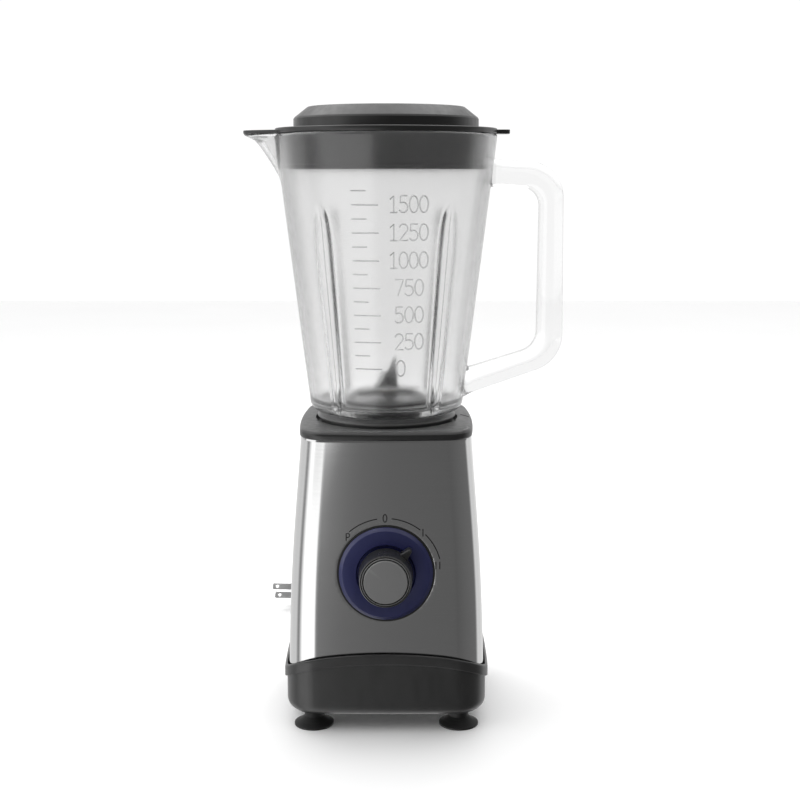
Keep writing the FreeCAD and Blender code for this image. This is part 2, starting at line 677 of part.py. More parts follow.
def swept_wing(root, length, width, thickness, rise):
    """One sharpened wing: a tapered plate, tilted up or down from its root."""
    outline = [Vector(0, -width / 2, 0), Vector(length * 0.62, -width / 2, 0), Vector(length, width * 0.18, 0),
               Vector(length * 0.8, width * 0.38, 0), Vector(length * 0.3, width / 2, 0), Vector(0, width / 2, 0)]
    plate = Part.Face(Part.makePolygon(outline + outline[:1])).extrude(Vector(0, 0, thickness))
    plate.rotate(ORIGIN, Vector(0, 1, 0), -rise)
    plate.translate(Vector(root, 0, 0))
    return plate


def blade_cross(bottom, rise, length, heading):
    """Two wings on one washer."""
    thickness = BLADE_THICKNESS
    washer = ring(8.4, SHAFT_RADIUS, bottom, bottom + thickness)
    wings = []
    for turn in (heading, heading + 180):
        wing = swept_wing(7.0, length, 13.0, thickness, rise)
        wing.translate(Vector(0, 0, bottom))
        wing.rotate(ORIGIN, UP, turn)
        wings.append(wing)
    bridge = block((-9.0, -6.5, bottom), (9.0, 6.5, bottom + thickness))
    bridge.rotate(ORIGIN, UP, heading)
    cross = fuse([washer, bridge] + wings)
    return cross.cut(cylinder(SHAFT_RADIUS, bottom - 5, bottom + 10))


def blade_nut():
    bottom = BLADES_BOTTOM + 2 * BLADE_THICKNESS
    corners = [Vector(6.2 * math.cos(math.radians(60 * i)), 6.2 * math.sin(math.radians(60 * i)), bottom)
               for i in range(7)]
    nut = Part.Face(Part.makePolygon(corners)).extrude(Vector(0, 0, 4.0))
    cap = Part.makeSphere(5.2, Vector(0, 0, bottom + 3.6)).common(cylinder(6, bottom + 3.6, bottom + 12))
    return fuse([nut, cap]).cut(cylinder(SHAFT_RADIUS, 220, 233.0))


def driven_coupling():
    """Cup with inward teeth below the blade unit, in mesh with the motor's driver."""
    pitch = 360 / COUPLING_TEETH
    teeth = [coupling_tooth(8.8, 13.4, 24, 190.5, 200.6, pitch * (i + 0.5)) for i in range(COUPLING_TEETH)]
    skirt = ring(16.0, 12.8, 190.5, 200.6)
    roof = ring(16.0, SHAFT_RADIUS, 200.2, 203.9)
    return fuse([skirt, roof] + teeth)


# ---------------------------------------------------------------- lid
def lid_inner_radius(z):
    return jug_outer_radius(z) - JUG_WALL


def lid_shell():
    outside = [
        (0, LID_FLANGE_BOTTOM), (LID_FLANGE_RADIUS - 0.6, LID_FLANGE_BOTTOM), (LID_FLANGE_RADIUS, 398.6),
        (LID_FLANGE_RADIUS, 400.0), (LID_FLANGE_RADIUS - 1.0, LID_FLANGE_TOP), (LID_DOME_RADIUS, LID_FLANGE_TOP),
        (LID_DOME_RADIUS, DOME_SIDE_TOP), (LID_DOME_RADIUS - 1.0, DOME_SIDE_TOP + 1.6),
        (LID_TOP_RADIUS, LID_EDGE_HEIGHT), (CAP_RADIUS + 8, TOTAL_HEIGHT - 0.2), (0, TOTAL_HEIGHT - 0.2),
    ]
    bottom = LID_SKIRT_BOTTOM
    skirt_out = lid_inner_radius(bottom) - CLEAR - 1.6
    skirt_top = lid_inner_radius(LID_FLANGE_BOTTOM) - CLEAR - 1.6
    skirt = [(skirt_out - 2.4, bottom), (skirt_out, bottom), (skirt_top, LID_FLANGE_BOTTOM + 1),
             (skirt_top - 2.4, LID_FLANGE_BOTTOM + 1)]
    hollow = [(0, LID_FLANGE_BOTTOM - 1), (LID_DOME_RADIUS - 3, LID_FLANGE_BOTTOM - 1),
              (LID_DOME_RADIUS - 3, DOME_SIDE_TOP - 1), (LID_TOP_RADIUS - 2, LID_EDGE_HEIGHT - 3.2),
              (0, TOTAL_HEIGHT - 3.4)]
    tab = block((60, -9, LID_FLANGE_BOTTOM), (82.8, 9, 400.2))
    tab = tab.makeFillet(3.0, [e for e in tab.Edges if e.BoundBox.XMin > 82 and e.BoundBox.ZLength > 1])
    cover = Part.Face(spout_section(LID_FLANGE_BOTTOM, SPOUT_TIP - 1.2, 21.0, 60.0)).extrude(Vector(0, 0, 2.2))
    shell = fuse([revolve(outside), tab, cover]).cut(revolve(hollow)).fuse(revolve(skirt))
    shell = shell.cut(cylinder(CAP_RADIUS, 390, 430))
    neck = ring(CAP_RADIUS + 2.4, CAP_RADIUS, LID_FLANGE_BOTTOM - 6, TOTAL_HEIGHT - 2)
    return shell.fuse(neck).removeSplitter()


def lid_seal():
    """Rubber sleeve round the skirt, with three lips that fit inside the jug."""
    bottom = LID_SKIRT_BOTTOM + 0.6
    top = LID_FLANGE_BOTTOM
    inner = lid_inner_radius(LID_SKIRT_BOTTOM) - CLEAR - 1.6
    slope = JUG_TAPER
    outline = [(inner + slope * 0.6, bottom)]
    lips = 3
    pitch = (top - bottom) / lips
    for i in range(lips):
        low = bottom + pitch * i
        outer = lid_inner_radius(low) - CLEAR
        outline.append((outer - 0.5, low))
        outline.append((outer + slope * pitch * 0.5, low + pitch * 0.5))
        outline.append((outer + slope * pitch - 0.5, low + pitch - 0.8))
    outline.append((inner + slope * (top - LID_SKIRT_BOTTOM), top))
    return revolve(outline)


def filler_cap():
    """Flush cap in the middle of the lid, with a skirt in the lid's neck and a finger hollow."""
    radius = CAP_RADIUS - CLEAR
    outline = [(0, TOTAL_HEIGHT - 3.2), (8.0, TOTAL_HEIGHT - 3.0), (14.0, TOTAL_HEIGHT - 1.4),
               (18.0, TOTAL_HEIGHT), (radius - 1.0, TOTAL_HEIGHT), (radius, TOTAL_HEIGHT - 1.0),
               (radius, 393.0), (radius - 2.2, 393.0), (radius - 2.2, TOTAL_HEIGHT - 5.0), (0, TOTAL_HEIGHT - 5.8)]
    return revolve(outline)


# ---------------------------------------------------------------- cord
def cord_tube(name, points):
    """Straight runs joined by the largest tangent arcs that the runs allow."""
    edges = []
    start = points[0]
    radii = []
    for i in range(1, len(points) - 1):
        before = points[i - 1] - points[i]
        after = points[i + 1] - points[i]
        turn = math.pi - before.getAngle(after)
        cut = 0.45 * min(before.Length, after.Length)
        radius = cut / math.tan(turn / 2)
        radii.append(round(radius, 1))
        before.normalize()
        after.normalize()
        half_angle = (math.pi - turn) / 2
        to_centre = (before + after).normalize()
        middle = points[i] + to_centre * (radius / math.sin(half_angle) - radius)
        edges.append(Part.makeLine(start, points[i] + before * cut))
        edges.append(Part.Arc(points[i] + before * cut, middle, points[i] + after * cut).toShape())
        start = points[i] + after * cut
    edges.append(Part.makeLine(start, points[-1]))
    path = Part.Wire(edges)
    section = Part.Wire(Part.makeCircle(CORD_RADIUS, points[0], points[1] - points[0]))
    tube = path.makePipeShell([section], True, True)
    ratio = tube.Volume / (math.pi * CORD_RADIUS**2 * path.Length)
    print(name, "radii", radii, "length", round(path.Length, 1), "volume ratio", round(ratio, 4))
    return tube


def strain_relief():
    """Tapered rubber sleeve that grips the cord where it leaves the base."""
    body = Part.makeCone(6.0, 3.9, RELIEF_LENGTH, CORD_EXIT, RELIEF_WAY)
    flange = Part.makeCylinder(7.2, 2.2, Vector(CORD_EXIT.x, BASE_HALF - 0.2, CORD_EXIT.z), Vector(0, 1, 0))
    tail = Part.makeCylinder(4.9, 8.5, Vector(CORD_EXIT.x, CORD_EXIT.y - 8.5, CORD_EXIT.z), Vector(0, 1, 0))
    relief = fuse([body, flange, tail])
    return relief


def cord_coil():
    coil = ring(COIL_OUTER, COIL_INNER, 0, COIL_HEIGHT, COIL_CENTRE.x, COIL_CENTRE.y)
    return coil.makeFillet(3.2, [e for e in coil.Edges if e.Length > 100])


def on_plug(shape):
    """Move a shape built with its front at the origin and pointing +X to the plug's place."""
    shape.rotate(ORIGIN, Vector(1, 0, 0), PLUG_ROLL)
    shape.rotate(ORIGIN, Vector(0, 1, 0), -PLUG_PITCH)
    shape.rotate(ORIGIN, UP, PLUG_HEADING)
    shape.translate(PLUG_FACE)
    return shape


def plug_body():
    def section(x, half_width, half_height, corner):
        flat = block((-half_width, -half_height, 0), (half_width, half_height, 1))
        flat = flat.makeFillet(corner, [e for e in flat.Edges if e.BoundBox.ZLength > 0.5])
        wire = [f for f in flat.Faces if f.BoundBox.ZMax < 0.01][0].OuterWire
        wire.rotate(ORIGIN, Vector(1, 1, 1), 120)
        wire.translate(Vector(x, 0, 0))
        return wire
    wires = [section(0, PLUG_HALF_WIDTH - 1.6, PLUG_HALF_HEIGHT - 1.6, 6.0),
             section(-PLUG_LENGTH * 0.55, PLUG_HALF_WIDTH, PLUG_HALF_HEIGHT, 6.5),
             section(-PLUG_LENGTH, 6.4, 6.4, 5.0)]
    body = Part.makeLoft(wires, True, True)
    tail = Part.makeCone(5.4, 3.9, PLUG_RELIEF, Vector(-PLUG_LENGTH, 0, 0), Vector(-1, 0, 0))
    return on_plug(body.fuse(tail))


def plug_prongs():
    def prong(side):
        y = side * PRONG_SPACING / 2
        blade = block((0, y - 0.76, -3.2), (PRONG_LENGTH, y + 0.76, 3.2))
        blade = blade.makeChamfer(1.0, [e for e in blade.Edges if e.BoundBox.XMin > PRONG_LENGTH - 0.1
                                        and e.BoundBox.YLength > 1])
        hole = Part.makeCylinder(1.6, 6, Vector(PRONG_LENGTH - 4.0, y - 3, 0), Vector(0, 1, 0))
        return blade.cut(hole)
    return on_plug(Part.makeCompound([prong(1), prong(-1)]))


# ---------------------------------------------------------------- the assembly
def build():
    os.makedirs("parts", exist_ok=True)
    nodes = {
        "lower_base": lower_base(),
        "bottom_cover": bottom_cover(),
        "cover_screws": cover_screws(),
        "steel_housing": steel_housing(),
        "top_deck": top_deck(),
        "case_screws": case_screws(),
        "upper_motor_bracket": upper_bracket(),
        "lower_motor_bracket": lower_bracket(),
        "upper_bearing": bearing(160.0, 167.0),
        "lower_bearing": bearing(66.5, 73.5),
        "mount_bushes": mount_bushes(),
        "mount_screws": mount_screws(),
        "motor_bolts": motor_bolts(),
        "stator_core": stator_core(),
        "field_coils": field_coils(),
        "carbon_brushes": carbon_brushes(),
        "brush_holders": brush_holders(),
        "brush_springs": brush_springs(),
        "motor_shaft": motor_shaft(),
        "armature_core": armature_core(),
        "armature_windings": armature_windings(),
        "commutator": commutator(),
        "cooling_fan": cooling_fan(),
        "drive_coupling": drive_coupling(),
        "dial_bezel": dial_bezel(),
        "rotary_switch": rotary_switch(),
        "switch_nut": switch_nut(),
        "switch_shaft": switch_shaft(),
        "knob_grip": knob_grip(),
        "knob_disc": knob_disc(),
        "jug_glass": jug_glass(),
        "jug_handle": jug_handle(),
        "jug_collar": jug_collar(),
        "blade_housing": blade_housing(),
        "jug_gasket": jug_gasket(),
        "blade_bearing": blade_bearing(),
        "blade_shaft": blade_shaft(),
        "lower_blade": blade_cross(BLADES_BOTTOM, -4.0, 17.0, 8.0),
        "upper_blade": blade_cross(BLADES_BOTTOM + BLADE_THICKNESS, 58.0, 24.0, 98.0),
        "blade_nut": blade_nut(),
        "driven_coupling": driven_coupling(),
        "lid_shell": lid_shell(),
        "lid_seal": lid_seal(),
        "filler_cap": filler_cap(),
        "strain_relief": strain_relief(),
        "cord_near": cord_tube("cord_near", CORD_NEAR),
        "cord_coil": cord_coil(),
        "cord_far": cord_tube("cord_far", CORD_FAR),
        "plug_body": plug_body(),
        "plug_prongs": plug_prongs(),
    }
    sides = {(1, 1): "rear_right", (-1, 1): "rear_left", (-1, -1): "front_left", (1, -1): "front_right"}
    for (sx, sy), side in sides.items():
        nodes["suction_foot_" + side] = suction_foot(FOOT_PITCH * sx, FOOT_PITCH * sy)
    for name, shape in nodes.items():
        print(name, len(shape.Solids), "valid" if shape.isValid() else "INVALID", round(shape.Volume))
        export(name, shape)


build()
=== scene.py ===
import json
import math

import bmesh
import bpy
from mathutils import Matrix, Vector


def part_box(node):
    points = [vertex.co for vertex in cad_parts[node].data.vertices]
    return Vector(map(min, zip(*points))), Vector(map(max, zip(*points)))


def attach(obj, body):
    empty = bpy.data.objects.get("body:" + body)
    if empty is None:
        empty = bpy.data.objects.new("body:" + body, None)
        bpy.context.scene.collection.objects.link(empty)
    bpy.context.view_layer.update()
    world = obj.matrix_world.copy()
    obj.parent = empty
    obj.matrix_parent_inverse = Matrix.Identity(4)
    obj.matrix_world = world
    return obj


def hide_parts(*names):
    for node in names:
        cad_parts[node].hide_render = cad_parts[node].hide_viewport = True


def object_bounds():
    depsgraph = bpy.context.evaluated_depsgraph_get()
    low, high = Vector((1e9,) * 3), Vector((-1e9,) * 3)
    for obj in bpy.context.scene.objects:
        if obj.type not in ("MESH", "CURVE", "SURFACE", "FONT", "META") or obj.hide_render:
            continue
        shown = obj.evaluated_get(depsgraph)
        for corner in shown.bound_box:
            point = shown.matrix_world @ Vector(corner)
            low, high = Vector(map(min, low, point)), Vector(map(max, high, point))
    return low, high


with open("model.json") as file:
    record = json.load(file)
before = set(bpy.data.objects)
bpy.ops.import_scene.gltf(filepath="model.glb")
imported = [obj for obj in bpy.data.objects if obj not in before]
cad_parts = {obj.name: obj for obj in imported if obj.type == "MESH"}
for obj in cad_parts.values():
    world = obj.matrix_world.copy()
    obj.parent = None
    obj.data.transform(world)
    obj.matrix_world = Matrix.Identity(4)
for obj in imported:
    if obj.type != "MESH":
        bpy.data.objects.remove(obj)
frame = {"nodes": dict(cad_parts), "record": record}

# Countertop blender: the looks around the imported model.  Shapes are worked out in
# millimetres and written to the meshes in metres.  +Z is up and -Y is the front.
CAD_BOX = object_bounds()
MM = 0.001
TAU = 2 * math.pi


def box_mm(node):
    """Lowest and highest corner of a CAD node in millimetres."""
    low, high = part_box(node)
    return low / MM, high / MM


def smoothstep(start, end, value):
    t = min(max((value - start) / (end - start), 0.0), 1.0)
    return t * t * (3 - 2 * t)


def along(pairs, value):
    """Value read from a list of (place, value) pairs, in straight steps."""
    for (a, va), (b, vb) in zip(pairs, pairs[1:]):
        if value <= b:
            return va + (vb - va) * (value - a) / (b - a)
    return pairs[-1][1]


def add_object(name, data):
    """New object in the scene."""
    obj = bpy.data.objects.new(name, data)
    bpy.context.scene.collection.objects.link(obj)
    return obj


# ---------------------------------------------------------------- camera
camera = add_object("camera", bpy.data.cameras.new("camera"))
camera.data.lens = 60
camera.data.sensor_width = 36
camera.location = (0.0093, -0.9135, 0.3717)
camera.rotation_euler = (math.radians(80.33), 0, 0)
bpy.context.scene.camera = camera


# ---------------------------------------------------------------- mesh helpers
def shade_smooth(mesh, sharp_angle):
    """Smooth shading except at edges sharper than an angle in degrees."""
    mesh.polygons.foreach_set("use_smooth", [True] * len(mesh.polygons))
    mesh.set_sharp_from_angle(angle=math.radians(sharp_angle))


def add_mesh(name, points, faces, smooth_angle=35):
    """New object from points in millimetres."""
    mesh = bpy.data.meshes.new(name)
    mesh.from_pydata([Vector(p) * MM for p in points], [], faces)
    build = bmesh.new()
    build.from_mesh(mesh)
    bmesh.ops.remove_doubles(build, verts=build.verts, dist=1e-6)
    bmesh.ops.recalc_face_normals(build, faces=build.faces)
    build.to_mesh(mesh)
    build.free()
    shade_smooth(mesh, smooth_angle)
    return add_object(name, mesh)


def merged(shapes):
    """Points and faces of several shapes as those of one."""
    points, faces = [], []
    for more_points, more_faces in shapes:
        faces += [tuple(k + len(points) for k in face) for face in more_faces]
        points += more_points
    return points, faces


def end_caps(count, columns):
    """Faces that close the first and the last row of count points."""
    return [tuple(reversed(range(columns))), tuple(range(count - columns, count))]


def grid_faces(rows, columns, close_rows=True):
    """Quads of a grid whose points are stored row after row; the columns close in a ring."""
    faces = []
    for i in range(rows if close_rows else rows - 1):
        for j in range(columns):
            a = i * columns + j
            b = i * columns + (j + 1) % columns
            c = (i + 1) % rows * columns + (j + 1) % columns
            d = (i + 1) % rows * columns + j
            faces.append((a, b, c, d))
    return faces


def soften(corners, closed=True, steps=5):
    """Outline in two coordinates with each corner (x, y, radius) rounded by an arc."""
    outline = []
    count = len(corners)
    for i, (x, y, radius) in enumerate(corners):
        here = Vector((x, y))
        ends = not closed and i in (0, count - 1)
        if radius <= 0 or ends:
            outline.append((x, y))
            continue
        before = (Vector(corners[i - 1][:2]) - here).normalized()
        after = (Vector(corners[(i + 1) % count][:2]) - here).normalized()
        half = before.angle(after) / 2
        if half > math.radians(88):
            outline.append((x, y))
            continue
        way = (before + after).normalized()
        centre = here + way * (radius / math.sin(half))
        start = before * (radius / math.tan(half)) + here - centre
        end = after * (radius / math.tan(half)) + here - centre
        turn = start.angle_signed(end)
        for step in range(steps + 1):
            spoke = start.copy()
            spoke.rotate(Matrix.Rotation(-turn * step / steps, 2))
            outline.append(tuple(centre + spoke))
    return outline


def revolve(name, profile, segments, closed=True):
    """Turn an outline of (radius, height) points about the vertical axis."""
    turns = [TAU * j / segments for j in range(segments)]
    points = [(r * math.cos(a), r * math.sin(a), z) for r, z in profile for a in turns]
    return add_mesh(name, points, grid_faces(len(profile), segments, closed))


def turned(name, corners, steps, segments):
    """Piece turned about the vertical axis, with the (x, y, radius) corners of its section rounded."""
    return revolve(name, soften(corners, steps=steps), segments)


def bulged_square(half, corner, bulge, per_side=20, per_corner=14):
    """Outline of a square with slightly bulged sides and tangent round corners."""
    side_centre = half - bulge
    reach = bulge - corner
    centre = (side_centre + math.sqrt(2 * reach**2 - side_centre**2)) / 2
    side_end = math.atan2(centre, centre - side_centre)
    quarter = []
    for i in range(per_side):
        a = -side_end + 2 * side_end * i / per_side
        quarter.append(Vector((side_centre + bulge * math.cos(a), bulge * math.sin(a))))
    for i in range(per_corner):
        a = side_end + (math.pi / 2 - 2 * side_end) * i / per_corner
        quarter.append(Vector((centre + corner * math.cos(a), centre + corner * math.sin(a))))
    return [Matrix.Rotation(math.pi / 2 * turn, 2) @ p for turn in range(4) for p in quarter]


def directions(outline):
    """Circle of radius one with a point for each point of an outline, in the same direction."""
    return [p.normalized() for p in outline]


def inset_rows(outline, middle, levels):
    """Rows of an outline at each (height, inset) level, drawn in towards the middle."""
    spokes = [Vector(p) - middle for p in outline]
    return [[(*(middle + spoke.normalized() * (spoke.length - inset)), height) for spoke in spokes]
            for height, inset in levels]


# ---------------------------------------------------------------- materials
def grey(level):
    """Linear colour of a screen grey from 0 to 255."""
    return colour(level, level, level)


def colour(red, green, blue):
    """Linear colour of a screen colour from 0 to 255."""
    def linear(v):
        v /= 255
        return v / 12.92 if v <= 0.04045 else ((v + 0.055) / 1.055) ** 2.4
    return (linear(red), linear(green), linear(blue), 1)


def add_node(tree, kind, inputs=(), **settings):
    """New node; each of its inputs is a constant or another node's output."""
    node = tree.nodes.new(kind)
    for key, value in settings.items():
        setattr(node, key, value)
    for key, value in dict(inputs).items():
        if isinstance(value, bpy.types.NodeSocket):
            tree.links.new(value, node.inputs[key])
        else:
            node.inputs[key].default_value = value
    return node


MATERIALS = {}


class Shader:
    """A material with a Principled shader and short ways to add nodes to it."""

    def __init__(self, name, **constants):
        self.material = bpy.data.materials.new(name)
        self.material.use_nodes = True
        self.tree = self.material.node_tree
        self.principled = self.tree.nodes["Principled BSDF"]
        for socket, value in constants.items():
            self.principled.inputs[socket.replace("_", " ")].default_value = value
        MATERIALS[name] = self.material

    def add(self, kind, inputs=(), **settings):
        return add_node(self.tree, kind, inputs, **settings)

    def link(self, output, socket):
        self.tree.links.new(output, self.principled.inputs[socket])

    def noise(self, scale, detail=3.0, stretch=(1, 1, 1), roughness=0.55):
        """Noise in object coordinates, which are stretched first."""
        place = self.add("ShaderNodeTexCoord").outputs["Object"]
        mapped = self.add("ShaderNodeMapping", {"Vector": place, "Scale": stretch}).outputs["Vector"]
        node = self.add("ShaderNodeTexNoise", {
            "Vector": mapped, "Scale": scale, "Detail": detail, "Roughness": roughness})
        return node.outputs["Fac"]

    def remap(self, value, low, high, start=0.3, end=0.7):
        node = self.add("ShaderNodeMapRange", {
            "Value": value, "From Min": start, "From Max": end, "To Min": low, "To Max": high})
        return node.outputs["Result"]

    def blend(self, factor, first, second):
        return self.add("ShaderNodeMix", {0: factor, 6: first, 7: second}, data_type="RGBA").outputs[2]

    def tint(self, pattern, dark, light, start=0.3, end=0.7):
        """Base colour that varies between two along a pattern."""
        self.link(self.blend(self.remap(pattern, 0, 1, start, end), dark, light), "Base Color")

    def polish(self, pattern, low, high):
        """Roughness that varies between two values along a pattern."""
        self.link(self.remap(pattern, low, high), "Roughness")

    def bump(self, heights):
        """Chain of (height, strength, depth in metres) bumps on the shader's normal."""
        normal = None
        for height, strength, depth in heights:
            inputs = {"Height": height, "Strength": strength, "Distance": depth}
            if normal is not None:
                inputs["Normal"] = normal
            normal = self.add("ShaderNodeBump", inputs).outputs["Normal"]
        self.link(normal, "Normal")


WORN_SHARE = 0.12          # how much of the worn colour shows on a sharp outer edge


def moulded_plastic(name, dark, light, roughness=0.34, grain=0.06, specular=0.5):
    """Moulded plastic with a fine spark-eroded grain, soft flow marks and scuffed edges."""
    s = Shader(name, Specular_IOR_Level=specular)
    flow = s.noise(18, detail=4)
    grain_height = s.noise(2600, detail=2)
    scuffs = s.noise(240, detail=6, stretch=(1, 1, 0.25))
    tone = s.blend(s.remap(flow, 0, 1), dark, light)
    worn = tuple(min(c * 2.2 + 0.01, 1) for c in light[:3]) + (1,)
    pointed = s.add("ShaderNodeNewGeometry").outputs["Pointiness"]
    edges = s.remap(pointed, 0, WORN_SHARE, 0.52, 0.62)
    s.link(s.blend(edges, tone, worn), "Base Color")
    s.polish(scuffs, roughness - 0.05, roughness + 0.07)
    s.bump([(flow, 0.08, 0.0006), (grain_height, grain, 0.0002)])


def brushed_steel(name):
    """Sheet steel brushed round the housing: fine level lines, slightly uneven polish."""
    s = Shader(name, Metallic=1.0, Anisotropic=0.5, Anisotropic_Rotation=0.25)
    lines = s.noise(1.0, detail=6, stretch=(16, 16, 7800), roughness=0.7)
    streaks = s.noise(1.0, detail=3, stretch=(6, 6, 900))
    smears = s.noise(14, detail=4)
    s.tint(lines, grey(180), grey(190))
    rough = s.remap(streaks, 0.095, 0.12)
    smear = s.remap(smears, -0.02, 0.03)
    s.link(s.add("ShaderNodeMath", {0: rough, 1: smear}, operation="ADD").outputs[0], "Roughness")
    tangent = s.add("ShaderNodeTangent", direction_type="RADIAL", axis="Z")
    s.link(tangent.outputs["Tangent"], "Tangent")
    s.bump([(lines, 0.05, 0.00003), (smears, 0.02, 0.0008)])


def machined_metal(name, dark, light, roughness=0.28, rings=False):
    """Turned or rolled metal with fine tool marks."""
    s = Shader(name, Metallic=1.0)
    marks = s.noise(900, detail=4, stretch=(1, 1, 4) if rings else (1, 1, 1))
    tarnish = s.noise(55, detail=5)
    s.tint(tarnish, dark, light)
    s.polish(marks, roughness - 0.06, roughness + 0.1)
    s.bump([(marks, 0.15, 0.0001)])


def rubber(name, dark, light, roughness=0.62):
    """Matt rubber with a faint bloom."""
    s = Shader(name, Specular_IOR_Level=0.35)
    bloom = s.noise(70, detail=6)
    skin = s.noise(1900, detail=3)
    s.tint(bloom, dark, light, 0.35, 0.75)
    s.polish(bloom, roughness - 0.08, roughness + 0.1)
    s.bump([(bloom, 0.1, 0.0004), (skin, 0.12, 0.00015)])


def pressed_glass(name, tint, edge, roughness):
    """Pressed glass, a little hazy, that lets lamps through, with painted shade: its colour turns grey at
    grazing angles, standing in for the dark refraction at its edges.
    """
    s = Shader(name, Transmission_Weight=1.0, IOR=1.46, Specular_IOR_Level=0.3)
    facing = s.add("ShaderNodeLayerWeight", {"Blend": 0.5}).outputs["Facing"]
    # painted shade: the colour goes from the tint to the edge grey where the surface turns away from view
    s.tint(facing, tint, edge, 0.45, 1.0)
    ripple = s.noise(34, detail=2, stretch=(1, 1, 0.35))
    haze = s.noise(150, detail=5)
    s.polish(haze, roughness * 0.94, roughness * 1.08)
    s.bump([(ripple, 0.04, 0.0012)])
    shadow = s.add("ShaderNodeLightPath").outputs["Is Shadow Ray"]
    clear = s.add("ShaderNodeBsdfTransparent", {"Color": (0.9, 0.905, 0.905, 1)})
    mixed = s.add("ShaderNodeMixShader", {
        0: shadow, 1: s.principled.outputs[0], 2: clear.outputs[0]})
    s.tree.links.new(mixed.outputs[0], s.tree.nodes["Material Output"].inputs["Surface"])


def laminated(name):
    """Stack of thin steel sheets, seen edge on."""
    s = Shader(name, Metallic=0.9)
    sheets = s.noise(1.0, detail=1, stretch=(4, 4, 2300))
    rust = s.noise(60, detail=6)
    s.tint(rust, grey(96), colour(112, 98, 88), 0.4, 0.75)
    s.polish(sheets, 0.35, 0.55)
    s.bump([(sheets, 0.5, 0.0003)])


def wound_wire(name):
    """Enamelled copper windings, laid turn beside turn."""
    s = Shader(name, Metallic=0.85, Coat_Weight=0.4)
    turns = s.noise(1.0, detail=2, stretch=(240, 240, 1500))
    s.tint(turns, colour(120, 58, 30), colour(196, 112, 62))
    s.polish(turns, 0.3, 0.5)
    s.bump([(turns, 0.6, 0.0005)])


def ink(name):
    """Printed marking, slightly uneven."""
    s = Shader(name, Specular_IOR_Level=0.3)
    patches = s.noise(900, detail=3)
    s.tint(patches, grey(14), grey(34))
    s.polish(patches, 0.45, 0.6)
    s.bump([(patches, 0.1, 0.00005)])


# the record's slots, and then the finer choices within them
moulded_plastic("base_plastic", grey(40), grey(48), roughness=0.36)
moulded_plastic("deck_plastic", grey(62), grey(70), roughness=0.4)
moulded_plastic("lid_plastic", grey(31), grey(37), roughness=0.36, grain=0.02, specular=0.42)
moulded_plastic("knob_plastic", grey(38), grey(46), roughness=0.3)
moulded_plastic("knob_face", grey(134), grey(142), roughness=0.4)
moulded_plastic("bezel_blue", colour(34, 38, 84), colour(42, 46, 98), roughness=0.33)
brushed_steel("steel_sheet")
# the second grey of each glass is painted shade at grazing angles
pressed_glass("clear_glass", grey(239), grey(130), 0.17)
rubber("black_rubber", grey(30), grey(42))
rubber("cord_rubber", grey(30), grey(38), roughness=0.5)
machined_metal("blade_steel", grey(150), grey(180), roughness=0.24)
machined_metal("shaft_steel", grey(160), grey(190), roughness=0.22, rings=True)
machined_metal("screw_steel", grey(140), grey(176), roughness=0.3)
machined_metal("cast_bracket", grey(120), grey(150), roughness=0.45)
laminated("laminations")
wound_wire("copper_wire")
moulded_plastic("carbon", grey(24), grey(36), roughness=0.5, grain=0.2)
machined_metal("plated_brass", grey(226), grey(238), roughness=0.38)
machined_metal("brass", colour(170, 130, 60), colour(206, 166, 92), roughness=0.26)
moulded_plastic("nylon", grey(190), grey(206), roughness=0.4)
ink("marking_ink")
moulded_plastic("sleeve_rubber", grey(52), grey(58), roughness=0.55, grain=0.0)
machined_metal("hub_metal", grey(112), grey(126), roughness=0.32)
machined_metal("wing_steel", grey(196), grey(210), roughness=0.26)
# darker copy of the deck plastic: painted shade for the plate's sides that face away from the light above
moulded_plastic("deck_painted_shade", grey(30), grey(36), roughness=0.35)
# lighter copy of the deck plastic for the jug's foot: painted light standing in for the light it misses in
# the shade under the jug
moulded_plastic("collar_lit_plastic", grey(84), grey(92), roughness=0.36, grain=0.02)
pressed_glass("handle_glass", grey(248), grey(120), 0.06)
# greyer copy of the jug's glass for the raised marks: painted shade standing in for the dark refraction
# lines along them
pressed_glass("mark_glass_shaded", grey(216), grey(70), 0.08)


SLOTS = {part["node"]: part["material_slot"] for part in frame["record"]["subparts"]}


def finish_piece(piece, body, slot, replaced=(), material=None):
    """Material and body of a new piece, the material named by its slot unless another is given, and the CAD
    nodes that it stands for, which are hidden.
    """
    piece.data.materials.clear()
    piece.data.materials.append(MATERIALS[material or slot])
    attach(piece, body)
    if replaced:
        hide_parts(*replaced)
    return piece


# ---------------------------------------------------------------- cord
CORD_DIAMETER = 0.0065
CORD_HEIGHT = 3.4          # centre of the cord above the floor in the coil's lower layer
COIL_CENTRE = (0.0, 174.0)
COIL_OUTER_TURN = 39.5
COIL_INNER_TURN = 33.0
COIL_STEP = 24             # degrees from one point of a turn to the next
COIL_TURNS = 3
RELIEF_START = Vector((39.5, 68.9, 26.0))
RELIEF_DROOP = math.radians(10)
RELIEF_WAY = Vector((0, math.cos(RELIEF_DROOP), -math.sin(RELIEF_DROOP)))
RELIEF_LENGTH = 30.0
PLUG_FACE = Vector((-82.0, 198.6, 14.8))
PLUG_HEADING = math.radians(196)
PLUG_PITCH = math.radians(6)
PLUG_ROLL = math.radians(-18)
PLUG_LENGTH = 36.0
PLUG_RELIEF = 22.0
GRIP_PITCH = 3.0
TAIL_PITCH = 4.4
PLUG_TURN = (Matrix.Rotation(PLUG_HEADING, 4, "Z") @ Matrix.Rotation(-PLUG_PITCH, 4, "Y")
             @ Matrix.Rotation(PLUG_ROLL, 4, "X"))
PLUG_PLACE = Matrix.Translation(PLUG_FACE) @ PLUG_TURN
